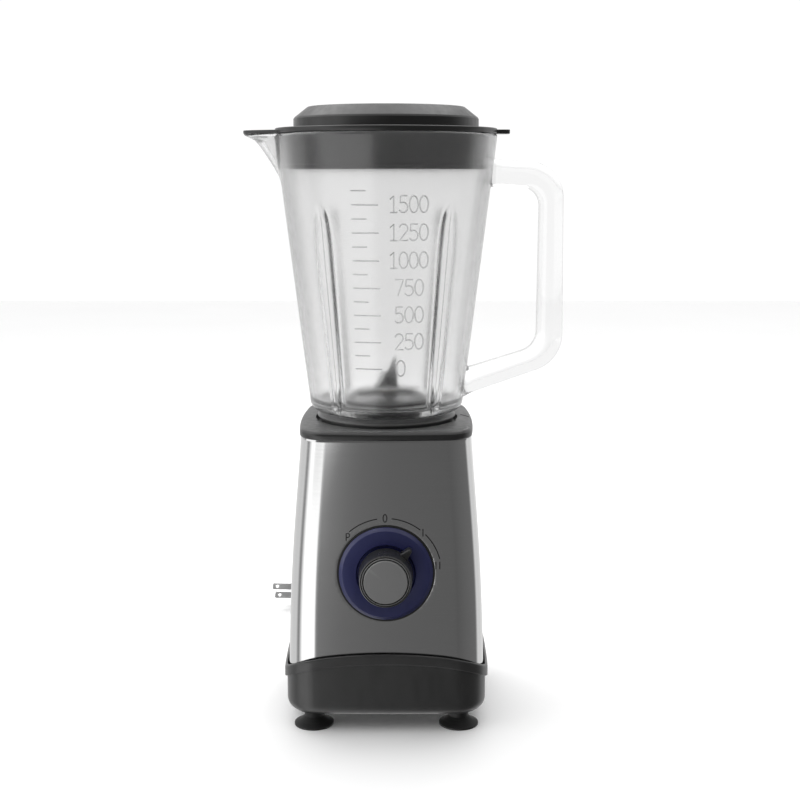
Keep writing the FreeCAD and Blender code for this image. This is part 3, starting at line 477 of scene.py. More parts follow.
CORD_NEAR = [
    RELIEF_START + RELIEF_WAY * RELIEF_LENGTH,
    Vector((39.5, 115.0, 17.9)),
    Vector((39.5, 131.5, 9.9)),
    Vector((39.5, 148.5, 4.6)),
    Vector((39.6, 164.5, 3.7)),
]
CORD_FAR = [
    Vector((39.6, 178.5, 9.6)),
    Vector((39.6, 195.8, 8.4)),
    Vector((31.9, 211.0, 5.0)),
    Vector((18.1, 221.2, 3.5)),
    Vector((1.3, 224.1, 3.6)),
    Vector((-14.6, 219.5, 6.9)),
    PLUG_PLACE @ Vector((-PLUG_LENGTH - PLUG_RELIEF, 0, 0)),
]
# degrees along the coil between which the cord moves inwards, up onto the lower turns, and outwards
STEP_IN = (295, 345)
CLIMB = (640, 690)
STEP_OUT = (975, 1025)


def coil_point(angle):
    """Centre of the cord in the coil: two turns on the floor and one on top of them."""
    step_in = smoothstep(*STEP_IN, angle)
    step_out = smoothstep(*STEP_OUT, angle)
    climb = smoothstep(*CLIMB, angle)
    radius = COIL_OUTER_TURN + (COIL_INNER_TURN - COIL_OUTER_TURN) * (step_in - step_out)
    radius /= math.cos(math.radians(COIL_STEP / 2))
    a = math.radians(angle)
    height = CORD_HEIGHT + CORD_DIAMETER / MM * climb
    return Vector((COIL_CENTRE[0] + radius * math.cos(a), COIL_CENTRE[1] + radius * math.sin(a), height))


def make_cord():
    """Cord as a smooth curve: from the strain relief into the coil and out of it to the plug."""
    turns = [coil_point(a) for a in range(COIL_STEP // 2, 360 * COIL_TURNS, COIL_STEP)]
    route = CORD_NEAR + turns + CORD_FAR
    curve = bpy.data.curves.new("mains_cord", "CURVE")
    curve.dimensions = "3D"
    spline = curve.splines.new("NURBS")
    spline.points.add(len(route) - 1)
    for point, place in zip(spline.points, route):
        point.co = (*(place * MM), 1)
    spline.order_u = 3
    spline.use_endpoint_u = True
    spline.resolution_u = 6
    curve.bevel_depth = CORD_DIAMETER / 2
    curve.bevel_resolution = 6
    curve.use_fill_caps = True
    replaced = ["cord_near", "cord_coil", "cord_far"]
    return finish_piece(add_object("mains_cord", curve), "base", "cord_rubber", replaced)


def ribbed_sleeve(name, length, start_radius, end_radius, ribs):
    """Tapered strain relief along +X with ring-shaped ribs."""
    flange = start_radius + 1.2
    profile = [(0.0, -2.0), (flange - 0.4, -2.0), (flange, -1.6), (flange, 0.6), (flange - 0.5, 1.0)]
    steps = ribs * 8
    for i in range(2, steps + 1):
        t = i / steps
        radius = start_radius + (end_radius - start_radius) * t
        groove = 0.75 * smoothstep(0.1, 0.9, math.sin(math.pi * ribs * t) ** 2) * smoothstep(0, 0.15, t)
        profile.append((radius - groove * smoothstep(1.0, 0.9, t), t * length))
    profile.append((3.1, length))
    sleeve = revolve(name, profile + [(0.0, length)], segments=48, closed=False)
    sleeve.data.transform(Matrix.Rotation(math.pi / 2, 4, "Y"))
    return sleeve


def make_relief():
    """Strain relief at the back of the base, drooping a little."""
    relief = ribbed_sleeve("cord_sleeve", RELIEF_LENGTH, 6.0, 3.9, 6)
    way = RELIEF_WAY.to_track_quat("X", "Z").to_matrix().to_4x4()
    relief.data.transform(Matrix.Translation(RELIEF_START * MM) @ way)
    return finish_piece(relief, "base", "cord_rubber", ["strain_relief"])


def oval(half_width, half_height, squareness, count=32):
    """Rounded rectangle as a superellipse: a squareness of 2 is an ellipse."""
    outline = []
    for i in range(count):
        a = TAU * i / count
        c, s = math.cos(a), math.sin(a)
        outline.append((
            half_width * math.copysign(abs(c) ** (2 / squareness), c),
            half_height * math.copysign(abs(s) ** (2 / squareness), s)))
    return outline


def loft(name, rows, smooth_angle=35):
    """Skin over closed rows with as many points each, with flat ends."""
    points = [p for row in rows for p in row]
    columns = len(rows[0])
    faces = grid_faces(len(rows), columns, close_rows=False) + end_caps(len(points), columns)
    return add_mesh(name, points, faces, smooth_angle)


def join_solids(base, other):
    """Union of two closed solids, written into the first one's mesh."""
    modifier = base.modifiers.new("join", "BOOLEAN")
    modifier.operation = "UNION"
    modifier.solver = "EXACT"
    modifier.object = other
    bpy.context.view_layer.update()
    evaluated = base.evaluated_get(bpy.context.evaluated_depsgraph_get())
    mesh = bpy.data.meshes.new_from_object(evaluated)
    mesh.name = base.name
    base.modifiers.clear()
    base.data = mesh
    bpy.data.objects.remove(other)
    shade_smooth(mesh, 35)
    return base


def make_plug():
    """Moulded plug: a flat front, finger grooves in the sides and a ribbed tail."""
    rows = []
    # half width and half height at distances behind the front
    tail_end = PLUG_LENGTH + PLUG_RELIEF
    widths = [(0, 8.9), (0.4, 9.6), (1.4, 10.1), (20, 11.5), (29, 9.4), (PLUG_LENGTH, 5.6), (tail_end, 3.9)]
    heights = [(0, 7.6), (0.4, 8.3), (1.4, 8.8), (20, 10.2), (29, 8.6), (PLUG_LENGTH, 5.6), (tail_end, 3.9)]
    stations = [0.0, 0.4, 1.4] + [2.0 + 0.7 * i for i in range(49)]
    stations += [PLUG_LENGTH + 0.5 * i for i in range(1, int(PLUG_RELIEF / 0.5) + 1)]
    for back in stations:
        squareness = 4.2 - 2.2 * smoothstep(22, 34, back)
        grip = smoothstep(9, 11, back) * smoothstep(25, 23, back)
        groove = 0.55 * grip * (0.5 - 0.5 * math.cos(TAU * back / GRIP_PITCH))
        tail = smoothstep(PLUG_LENGTH, PLUG_LENGTH + 2, back)
        rib = 0.7 * tail * smoothstep(0.2, 0.8, 0.5 - 0.5 * math.cos(TAU * back / TAIL_PITCH))
        ring = oval(along(widths, back) - groove - rib, along(heights, back) - rib, squareness)
        rows.append([(-back, y, z) for y, z in ring])
    plug = loft("mains_plug", rows, 40)
    plug.data.transform(Matrix.Translation(PLUG_FACE * MM) @ PLUG_TURN)
    return finish_piece(plug, "base", "cord_rubber", ["plug_body"])


mains_cord = make_cord()
cord_sleeve = make_relief()
mains_plug = make_plug()


# ---------------------------------------------------------------- jug
JUG_FOOT_RADIUS = 52.0     # outer radius of the wall at the bottom, before its rounded edge
JUG_TAPER = 0.1221         # outer radius gained for each millimetre of height
JUG_WALL = 4.0
JUG_FLOOR = 5.0
JUG_HOLE = 24.0
FLUTE_ANGLE = 38.0         # degrees from the front and the back to each of the four flutes
FLUTE_DEPTH = 3.4
FLUTE_TOP = 354.0
FLUTE_ARCH = 40.0          # height of the arch that ends a flute at the top
FLUTE_ROUND = 12.0         # and of the round that ends it at the bottom
FLUTE_HALF_LOW = 5.2       # half width at the bottom and, below, at the top
FLUTE_HALF_HIGH = 8.8
SPOUT_FOOT = 364.0
SPOUT_HALF_ANGLE = 17.0
HANDLE_DEPTH = 19.0
HANDLE_FLARE = 0.14        # how much thicker the handle is where it joins the wall
HANDLE_FLARE_LENGTH = 7.0
JUG_LOW, JUG_HIGH = box_mm("jug_glass")


def jug_radius(z):
    return JUG_FOOT_RADIUS + JUG_TAPER * (z - JUG_LOW.z)


def jug_inner(z):
    return jug_radius(z) - JUG_WALL


def spout_reach(angle, z):
    """How far the spout stands out from the wall, for an angle in degrees from the -X side."""
    if z <= SPOUT_FOOT:
        return 0.0
    tip = along([
        (SPOUT_FOOT, 0.0), (369, 0.9), (375, 3.4), (382, 7.0), (389, 11.0), (393, 13.9), (394.6, 16.6),
        (395.8, 19.6), (JUG_HIGH.z, -JUG_LOW.x - jug_radius(JUG_HIGH.z))], z)
    half = SPOUT_HALF_ANGLE * (0.55 + 0.45 * smoothstep(SPOUT_FOOT, 396, z))
    u = min(abs(angle) / half, 1.0)
    return tip * math.cos(math.pi / 2 * u) ** 1.7


def off_flute(angle):
    """Degrees from the middle of the nearest flute."""
    return abs((angle + 180) % 180 - 90) - FLUTE_ANGLE


def flute_depth(angle, z):
    """Depth of the inward flutes, which end in an arch at the top and a round at the bottom."""
    off_centre = math.radians(off_flute(angle)) * jug_radius(z)
    bottom = JUG_LOW.z + 1.5
    full = along([(bottom, FLUTE_HALF_LOW), (FLUTE_TOP, FLUTE_HALF_HIGH)], z)
    above = max(z - (FLUTE_TOP - FLUTE_ARCH), 0) / FLUTE_ARCH
    below = max(bottom + FLUTE_ROUND - z, 0) / FLUTE_ROUND
    half = full * min(math.sqrt(max(1 - u**2, 0.0)) for u in (above, below))
    if half < 0.3:
        return 0.0
    ends = smoothstep(FLUTE_TOP, FLUTE_TOP - 16, z) * smoothstep(bottom, bottom + 7, z)
    return FLUTE_DEPTH * ends * smoothstep(1.0, 0.05, abs(off_centre) / half)


def jug_angles():
    """Directions of the jug's columns in degrees, closer together at the spout and flutes."""
    angles = []
    angle = 0.0
    while angle < 359.99:
        angles.append(angle)
        near_spout = abs(angle - 180) < SPOUT_HALF_ANGLE + 2
        angle += 1.0 if near_spout or abs(off_flute(angle)) < 12 else 2.0
    return angles


def jug_profile():
    """Rows of the jug's section: (radius without spout and flutes, height, share of them)."""
    low, high = JUG_LOW.z, JUG_HIGH.z
    rows = [(JUG_HOLE, low, 0), (34, low, 0), (44.0, low, 0)]
    foot_corner = [(40, low, 0), (jug_radius(low), low, 7.0), (jug_radius(low + 30), low + 30, 0)]
    bottom_corner = soften(foot_corner, False, 8)
    rows += [(r, z, 1) for r, z in bottom_corner[1:-1]]
    levels = [low + 9 + (high - low - 11) * i / 74 for i in range(75)]
    rows += [(jug_radius(z), z, 1) for z in levels]
    top_outer = jug_radius(high)
    rim = soften([(top_outer - 0.2, high - 2, 0), (top_outer, high, 1.8), (top_outer - JUG_WALL, high, 1.4),
                  (top_outer - JUG_WALL - 0.2, high - 2, 0)], False, 4)
    rows += [(r, z, 1) for r, z in rim[1:-1]]
    floor = low + JUG_FLOOR
    rows += [(jug_inner(z), z, 1) for z in reversed(levels) if z > floor + 7]
    inner = jug_inner(floor)
    inner_corner = soften([(inner + 1.2, floor + 10, 0), (inner, floor, 6.5), (36, floor, 0)], False, 6)
    rows += [(r, z, 1) for r, z in inner_corner[1:-1]]
    rows += [(38.0, floor, 0), (31, floor, 0), (JUG_HOLE, floor, 0)]
    return rows


def jug_shell():
    """Glass wall and floor with the spout and the flutes."""
    angles = jug_angles()
    rows = jug_profile()
    points = []
    for r, z, share in rows:
        for angle in angles:
            out = r + share * (spout_reach(angle - 180, z) - flute_depth(angle, z))
            a = math.radians(angle)
            points.append((out * math.cos(a), out * math.sin(a), z))
    return add_mesh("jug", points, grid_faces(len(rows), len(angles)), 50)


def jug_handle():
    """D-shaped handle: the section between an outer and an inner outline, flared where it joins."""
    top_x, low_x = 70.5, 52.3
    outer = [(top_x, 380.7, 0), (119.6, 378.3, 24.0), (121.1, 244.0, 26.0), (low_x, 219.8, 0)]
    inner = [(top_x, 363.4, 0), (103.4, 361.0, 12.0), (102.9, 254.0, 14.0), (low_x, 238.2, 0)]
    outer_line, inner_line = [soften(line, closed=False, steps=9) for line in (outer, inner)]
    rows = []
    for i in range(len(outer_line) - 1):
        a0, a1 = Vector(outer_line[i]), Vector(outer_line[i + 1])
        b0, b1 = Vector(inner_line[i]), Vector(inner_line[i + 1])
        count = max(1, round((a1 - a0).length / 3.0))
        for step in range(count):
            rows.append((a0.lerp(a1, step / count), b0.lerp(b1, step / count)))
    rows.append((Vector(outer_line[-1]), Vector(inner_line[-1])))
    middles = [(out + inn) / 2 for out, inn in rows]
    ring = oval(1.0, 1.0, 3.2, 28)
    sections = []
    for (out, inn), middle in zip(rows, middles):
        from_root = min((middle - middles[0]).length, (middle - middles[-1]).length)
        flare = 1 + HANDLE_FLARE * smoothstep(HANDLE_FLARE_LENGTH, 0.0, from_root)
        across = (out - inn) / 2 * flare
        depth = HANDLE_DEPTH / 2 * flare
        sections.append([(middle.x + across.x * u, depth * v, middle.y + across.y * u) for u, v in ring])
    return loft("jug_handle", sections, 60)


def make_jug():
    """Jug and handle as one pressing; the handle's glass is clearer than the jug's hazy wall."""
    pressing = join_solids(jug_shell(), jug_handle())
    jug = finish_piece(pressing, "jug", "clear_glass", ["jug_glass", "jug_handle"])
    jug.data.materials.append(MATERIALS["handle_glass"])
    for face in jug.data.polygons:
        place = face.center / MM
        if place.x > jug_radius(place.z) + 1.2:
            face.material_index = 1
    return jug


make_jug()


# ---------------------------------------------------------------- raised and printed marks
def arc(cx, cy, rx, ry, start, end, steps=10):
    """Points on an ellipse from one angle to another, in degrees counter-clockwise from +x."""
    angles = [math.radians(start + (end - start) * i / steps) for i in range(steps + 1)]
    return [(cx + rx * math.cos(a), cy + ry * math.sin(a)) for a in angles]


# strokes of each sign in a box one unit high; a sign's width follows its strokes
SIGNS = {
    "0": [arc(0.25, 0.5, 0.25, 0.5, 90, 450, 24)],
    "1": [[(0.05, 0.78), (0.27, 1.0), (0.27, 0.0)], [(0.06, 0.0), (0.48, 0.0)]],
    "2": [arc(0.25, 0.74, 0.24, 0.26, 170, -35, 10) + [(0.02, 0.0), (0.5, 0.0)]],
    "5": [[(0.46, 1.0), (0.08, 1.0), (0.05, 0.56)] + arc(0.23, 0.31, 0.26, 0.31, 118, -150, 14)],
    "7": [[(0.02, 1.0), (0.5, 1.0), (0.18, 0.0)]],
    "P": [[(0.05, 0.0), (0.05, 1.0), (0.26, 1.0)] +
          arc(0.26, 0.74, 0.24, 0.26, 90, -90, 8) + [(0.05, 0.48)]],
    "I": [[(0.25, 0.0), (0.25, 1.0)]],
}
BEAD_SINK = 0.12           # how deep the lines are set into the surface


def bead(path, width, rise, place):
    """Rounded raised line along a path; place(x, y, h) gives the point h above the surface."""
    profile = [(-0.5, -BEAD_SINK), (-0.42, rise * 0.55), (-0.2, rise * 0.95), (0.2, rise * 0.95),
               (0.42, rise * 0.55), (0.5, -BEAD_SINK)]
    line = [Vector(p) for p in path]
    looped = (line[0] - line[-1]).length < 1e-6
    points = []
    for i, p in enumerate(line):
        before = line[i - 1] if i else (line[-2] if looped else p)
        after = line[i + 1] if i < len(line) - 1 else (line[1] if looped else p)
        way = (after - before).normalized()
        side = Vector((-way.y, way.x)) * width
        points += [place(p.x + side.x * across, p.y + side.y * across, h) for across, h in profile]
    faces = grid_faces(len(line), len(profile), close_rows=False)
    if not looped:
        faces += end_caps(len(points), len(profile))
    return points, faces


def beads(name, paths, width, rise, place):
    """One piece made of several raised lines."""
    points, faces = merged(bead(path, width, rise, place) for path in paths)
    return add_mesh(name, points, faces, 60)


def sign_paths(text, left, bottom, height, pitch, width=1.0):
    """Strokes of a row of signs."""
    paths = []
    for i, sign in enumerate(text):
        for stroke in SIGNS[sign]:
            paths.append([(left + i * pitch + x * height * width, bottom + y * height) for x, y in stroke])
    return paths


def on_jug(x, z, h):
    """Point h outside the front of the jug's plain wall."""
    r = jug_radius(z)
    a = math.asin(x / r)
    r += h
    return (r * math.sin(a), -r * math.cos(a), z)


SCALE_LOW = 245.7          # height of the jug's zero graduation
SCALE_STEP = 8.85          # one graduation, 125 ml
GRADUATIONS = 14
NUMERAL_HEIGHT = 10.4
NUMERAL_PITCH = 6.45
NUMERAL_WIDTH = 1.05       # how much wider the signs are drawn
NUMERAL_LEFT = {1: 7.1, 3: 6.0, 4: 2.4}     # left end of a numeral by its number of signs


def make_graduations():
    """Raised lines of the scale, long and short in turn."""
    paths = []
    for i in range(GRADUATIONS):
        z = SCALE_LOW + SCALE_STEP * i
        left = -19.4 - 2.1 * i / 12
        length = 17.0 if i % 2 == 0 else 9.4
        paths.append([(left + length * k / 6, z) for k in range(7)])
    marks = beads("graduations", paths, 0.8, 0.4, on_jug)
    return finish_piece(marks, "jug", "clear_glass", material="mark_glass_shaded")


def make_numerals():
    """Raised volumes in millilitres beside the long lines."""
    paths = []
    for i, volume in enumerate(range(0, 1501, 250)):
        z = SCALE_LOW + SCALE_STEP * 2 * i - NUMERAL_HEIGHT * 0.45
        text = str(volume)
        left = NUMERAL_LEFT[len(text)]
        paths += sign_paths(text, left, z, NUMERAL_HEIGHT, NUMERAL_PITCH, NUMERAL_WIDTH)
    marks = beads("numerals", paths, 0.95, 0.45, on_jug)
    return finish_piece(marks, "jug", "clear_glass", material="mark_glass_shaded")


make_graduations()
make_numerals()

# ---------------------------------------------------------------- base
BASE_BOTTOM = box_mm("lower_base")[0].z
BASE_HALF = 68.4
BASE_CORNER = 20.0
BASE_BULGE = 1200.0
RIM_HALF = 70.0
RIM_MIDDLE = 56.2
RIM_BAND = 7.0
BASE_FLOOR = 3.0
BASE_WALL = 2.5
VENT_RADIUS = 38.0


def rim_height(x):
    """Height of the base's wavy rim: high at the middle of the front, low at the sides."""
    u = max(-1.0, min(1.0, x / RIM_HALF))
    return RIM_MIDDLE - 7.5 * u**2 - 8.5 * u**8


def make_base():
    """Black base: a tub with a vent hole in its floor and a band under its wavy rim."""
    bottom = BASE_BOTTOM
    inner = BASE_HALF - BASE_WALL
    # rows of (half width, height, whether the height is measured from the rim)
    outside = soften([(52, 0, 0), (BASE_HALF, 0, 8.5), (BASE_HALF, 30, 0)], False, 9)
    rows = [(VENT_RADIUS + 4, bottom, 0)] + [(h, bottom + z, 0) for h, z in outside[1:-1]]
    rows += [(BASE_HALF, 24.0, 0), (BASE_HALF, 28.0, 0)]
    band = soften([
        (BASE_HALF, -12.0, 0), (BASE_HALF, -RIM_BAND, 0.7), (RIM_HALF, -RIM_BAND, 0.8), (RIM_HALF, 0, 0.9),
        (BASE_HALF - 0.3, 0, 0.4), (BASE_HALF - 0.3, -5.0, 0.2), (inner, -5.0, 0.3), (inner, -9.0, 0)],
        closed=False, steps=4)
    rows += [(h, z, 1) for h, z in band]
    rows += [(inner, 26.0, 0), (inner, bottom + BASE_FLOOR + 4, 0), (inner - 2.5, bottom + BASE_FLOOR, 0),
             (VENT_RADIUS + 4, bottom + BASE_FLOOR, 0)]
    circle = directions(bulged_square(BASE_HALF, BASE_CORNER, BASE_BULGE))
    points = [(p.x * VENT_RADIUS, p.y * VENT_RADIUS, bottom) for p in circle]
    for half, z, from_rim in rows:
        if half < VENT_RADIUS + 5:
            points += [(p.x * half, p.y * half, z) for p in circle]
            continue
        for p in bulged_square(half, BASE_CORNER + half - BASE_HALF, BASE_BULGE):
            points.append((p.x, p.y, z + rim_height(p.x) if from_rim else z))
    points += [(p.x * VENT_RADIUS, p.y * VENT_RADIUS, bottom + BASE_FLOOR) for p in circle]
    base = add_mesh("base_tub", points, grid_faces(len(rows) + 2, len(circle)), 40)
    return finish_piece(base, "base", "base_plastic", ["lower_base"])


# ---------------------------------------------------------------- steel housing
HOUSING_TOP = box_mm("steel_housing")[1].z
HOUSING_FOOT = 30.0
# (height, half width)
HOUSING_HALVES = [(HOUSING_FOOT, 67.2), (70.0, 66.3), (110.0, 64.7), (155.0, 61.7), (HOUSING_TOP, 58.6)]
HOUSING_TUCK = 3.6         # how far the steel reaches down behind the base's rim
STEEL = 1.2
DECK_CORNER = 18.0
DECK_BULGE = 420.0
DIAL_HEIGHT = 110.8
DIAL_LEAN = math.radians(3.3)
DIAL_FACE = Vector((0, -64.7, DIAL_HEIGHT))
BEZEL_RADIUS = 31.1
DIAL_GAP = 1.0             # between the ring and the steel round it, filled by a black ring that covers the steel's cut edge and stands in for the shade in the gap


def housing_half(z):
    """Half width of the housing: the smooth curve through HOUSING_HALVES."""
    total = 0.0
    for i, (zi, half) in enumerate(HOUSING_HALVES):
        weight = 1.0
        for j, (zj, _) in enumerate(HOUSING_HALVES):
            if i != j:
                weight *= (z - zj) / (zi - zj)
        total += half * weight
    return total


def housing_shape(z):
    """Corner and bulge radius of the housing at a height."""
    blend = (z - HOUSING_FOOT) / (HOUSING_TOP - HOUSING_FOOT)
    return BASE_CORNER + blend * (DECK_CORNER - BASE_CORNER), BASE_BULGE + blend * (DECK_BULGE - BASE_BULGE)


def on_front(x, z, h=0.0):
    """Point h outside the housing's front."""
    _, bulge = housing_shape(z)
    half = housing_half(z)
    lean = (housing_half(z - 1) - housing_half(z + 1)) / 2
    return (x, -(half - bulge + math.sqrt(bulge**2 - x**2)) - h, z + h * lean)


def make_housing():
    """Bowed steel sleeve with a round hole for the dial, given its thickness by a modifier."""
    points = []
    levels = 96
    for i in range(levels + 1):
        t = i / levels
        z_mid = HOUSING_FOOT + t * (HOUSING_TOP - HOUSING_FOOT)
        corner, bulge = housing_shape(z_mid)
        outline = bulged_square(housing_half(z_mid), corner, bulge, per_side=60, per_corner=22)
        for p in outline:
            bottom = rim_height(p.x) - HOUSING_TUCK
            z = bottom + t * (HOUSING_TOP - bottom)
            grow = housing_half(z) / housing_half(z_mid)
            points.append((p.x * grow, p.y * grow, z))
    faces = grid_faces(levels + 1, len(outline), close_rows=False)
    housing = add_mesh("housing_sleeve", points, faces, 60)
    cut_dial_hole(housing.data)
    thickness = housing.modifiers.new("thickness", "SOLIDIFY")
    thickness.thickness = STEEL * MM
    thickness.offset = -1
    rounded_edge = housing.modifiers.new("edge", "BEVEL")
    rounded_edge.width = 0.25 * MM
    rounded_edge.segments = 2
    rounded_edge.limit_method = "ANGLE"
    rounded_edge.angle_limit = math.radians(60)
    return finish_piece(housing, "base", "steel_sheet", ["steel_housing"])


def cut_dial_hole(mesh):
    """Round hole in the front for the dial's ring."""
    radius = BEZEL_RADIUS + DIAL_GAP
    build = bmesh.new()
    build.from_mesh(mesh)

    def spoke(co):
        return Vector((co.x / MM, (co.z / MM - DIAL_HEIGHT) / math.cos(DIAL_LEAN)))

    front = [(f, f.calc_center_median()) for f in build.faces if f.calc_center_median().y < 0]
    inside = [f for f, middle in front if spoke(middle).length < radius]
    bmesh.ops.delete(build, geom=inside, context="FACES")
    rim = {v for e in build.edges if e.is_boundary for v in e.verts}
    for v in rim:
        away = spoke(v.co)
        if v.co.y < 0 and away.length < radius * 1.3:
            away = away.normalized() * radius
            v.co = Vector(on_front(away.x, DIAL_HEIGHT + away.y * math.cos(DIAL_LEAN))) * MM
    build.to_mesh(mesh)
    build.free()
    mesh.polygons.foreach_set("use_smooth", [True] * len(mesh.polygons))


make_base()
make_housing()

# ---------------------------------------------------------------- dial
DIAL_PLACE = Matrix.Translation(DIAL_FACE * MM) @ Matrix.Rotation(math.pi / 2 - DIAL_LEAN, 4, "X")
KNOB_CAP = 16.7
KNOB_SKIRT = 18.0
KNOB_BACK = 3.6
KNOB_FRONT = 25.0
POINTER_ANGLE = math.radians(42)
POINTER_TIP = 24.4
MARK_RADIUS = 36.8
DIAL_SIGN_HEIGHT = 5.0


def on_dial(name, profile, body, slot, replaced=(), steps=5):
    """Piece turned about the dial's axis from (radius, height above the front, rounding)."""
    piece = turned(name, profile, steps, segments=144)
    piece.data.transform(DIAL_PLACE)
    return finish_piece(piece, body, slot, replaced)


def make_dial_ring():
    """Bevelled ring with a flange behind the steel, and a black ring that covers the steel's cut edge and is
    painted shade for the gap round the ring.
    """
    ring, hole = BEZEL_RADIUS, BEZEL_RADIUS + DIAL_GAP
    on_dial("dial_ring", [
        (5.2, -5.6, 0), (34.5, -5.6, 0.3), (34.5, -3.6, 0.3), (ring, -3.6, 0), (ring, 0.8, 0.5),
        (ring - 2.2, 3.0, 0.6), (19.6, 3.0, 0.5), (18.9, 1.0, 0.3), (5.2, 1.0, 0)],
        "base", "bezel_blue", ["dial_bezel"])
    # painted shade: a black rubber ring stands in for the shade in the gap round the dial's ring, and covers
    # the steel's cut edge
    on_dial("dial_shade_ring", [
        (ring, -1.6, 0), (hole - 0.1, -1.6, 0), (hole - 0.1, 0.1, 0), (hole + 0.2, 0.1, 0),
        (hole + 0.2, 0.35, 0.15), (ring, 0.35, 0.15)], "base", "black_rubber")


def make_knob():
    """Stepped knob whose front has two fine ridges round the disc."""
    front = KNOB_FRONT
    face, groove, ridge = front - 2.0, front - 2.3, front - 1.1
    profile = [
        (2.9, face - 4, 0), (12.5, 9.0, 0), (12.5, KNOB_BACK, 0), (KNOB_SKIRT, KNOB_BACK, 0.6),
        (KNOB_SKIRT - 0.3, 8.0, 2.0), (17.2, 19.0, 4.0), (KNOB_CAP + 0.3, front - 2.6, 0.3),
        (KNOB_CAP - 0.2, front - 1.3, 0.3), (15.9, front - 1.5, 0.15), (15.75, groove, 0.1),
        (15.45, groove, 0.1), (15.35, ridge, 0.15), (15.0, ridge, 0.15),
        (14.85, groove, 0.1), (14.35, groove, 0.1), (14.3, face, 0), (2.9, face, 0)]
    on_dial("knob_body", profile, "knob", "knob_plastic", ["knob_grip"], steps=4)
    trim = [(15.0, face, 0), (15.5, face, 0), (15.5, front - 0.9, 0.2), (15.0, front - 0.9, 0.2)]
    on_dial("knob_trim", trim, "knob", "knob_face")
    disc = [(0.0, face, 0), (14.1, face, 0), (14.1, front - 0.3, 0.2), (13.8, front, 0.15), (0.0, front, 0)]
    on_dial("knob_face_disc", disc, "knob", "knob_face", ["knob_disc"])


def make_pointer():
    """Wedge on the knob's skirt with a rounded tip and softened upper edges."""
    half_root, half_tip, root = 3.7, 1.8, 15.0
    tip = arc(0, POINTER_TIP - half_tip, half_tip, half_tip, 20, 160, 12)
    outline = [(half_root, root)] + tip + [(-half_root, root)]
    middle = Vector((0, (root + POINTER_TIP) / 2))
    levels = [(KNOB_BACK, 0.0), (9.4, 0.0), (10.3, 0.25), (10.9, 0.8), (11.1, 1.5)]
    pointer = loft("knob_pointer", inset_rows(outline, middle, levels), 45)
    pointer.data.transform(DIAL_PLACE @ Matrix.Rotation(-POINTER_ANGLE, 4, "Z"))
    return finish_piece(pointer, "knob", "knob_plastic")


def make_dial_marks():
    """Printed positions round the dial and the lines between them."""
    paths = []
    for start, end in [(-41, -9), (6, 38), (45, 75)]:
        turn = [math.radians(start + (end - start) * i / 16) for i in range(17)]
        paths.append([(MARK_RADIUS * math.sin(a), DIAL_HEIGHT + MARK_RADIUS * math.cos(a)) for a in turn])
    lines = beads("dial_lines", paths, 0.8, 0.2, on_front)
    # each sign and the middle of its place: off, pulse, speed one, and speed two as two strokes
    places = [
        ("0", -0.6, 147.7), ("P", -25.2, 135.0), ("I", 24.4, 138.0), ("I", 33.0, 116.0), ("I", 35.6, 116.0)]
    height = DIAL_SIGN_HEIGHT
    signs = []
    for sign, x, z in places:
        signs += sign_paths(sign, x - height / 4, z - height / 2, height, 0)
    letters = beads("dial_signs", signs, 0.8, 0.2, on_front)
    for piece in (lines, letters):
        finish_piece(piece, "base", "black_rubber", material="marking_ink")


make_dial_ring()
make_knob()
make_pointer()
make_dial_marks()

# ---------------------------------------------------------------- deck
DECK_HIGH = box_mm("top_deck")[1]
DECK_BOTTOM = 198.8        # of the part that stands out over the steel
DECK_HOLE = 22.0
RECESS_RADIUS = 49.0
RECESS_FLOOR = 200.5
DECK_ROUNDING = 3.6
# painted shade on the plate's rim: faces outside a radius that look down, or up by less than this slope, get
# a darker copy of its plastic
DECK_SHADE_INNER = 54.0
DECK_SHADE_SLOPE = 0.45


def on_deck(x, y, h):
    """Point h above the deck."""
    return (x, y, DECK_HIGH.z + h)


def make_deck_marks():
    """Raised line and dots that show where the jug sits."""
    dot = [arc(x, y, 0.45, 0.45, 0, 360, 12) for x, y in [(47.0, -16.5), (-47.0, -16.5)]]
    paths = [[(51.8, 4.9), (56.8, -2.9)]] + dot
    marks = beads("deck_marks", paths, 0.9, 0.25, on_deck)
    return finish_piece(marks, "base", "deck_plastic", material="marking_ink")


def make_collar():
    """Black foot of the jug: a sloping skirt with two fine steps above the slit round it."""
    low, high = box_mm("jug_collar")
    reach = high.x
    profile = [
        (reach - 2.2, low.z, 0.3), (reach - 2.2, 206.0, 0), (reach + 0.3, 206.2, 0.1),
        (reach + 0.3, 207.0, 0.4), (reach - 0.4, 207.9, 0.3), (reach - 0.5, 208.4, 0.2),
        (reach - 1.4, 209.7, 0.3), (reach - 1.5, 210.0, 0.1),
        (reach - 2.0, high.z - 0.2, 0.2), (JUG_HOLE, high.z - 0.2, 0),
        (JUG_HOLE, 204.4, 0), (JUG_HOLE + 3, 204.4, 0), (JUG_HOLE + 3, 205.6, 0), (reach - 3, 205.6, 0),
        (reach - 3, low.z, 0.3)]
    collar = turned("jug_foot", profile, steps=3, segments=160)
    # the foot gets the lighter copy of the deck plastic as painted light
    return finish_piece(collar, "jug", "deck_plastic", ["jug_collar"], material="collar_lit_plastic")


BLADE_LEVEL = box_mm("upper_blade")[0].z
BLADE_STEEL = 1.6
HUB_BORE = 7.0
WING_ROOT = 5.5            # distance from the axis at which a wing starts
WING_HALF_WIDTH = 7.2


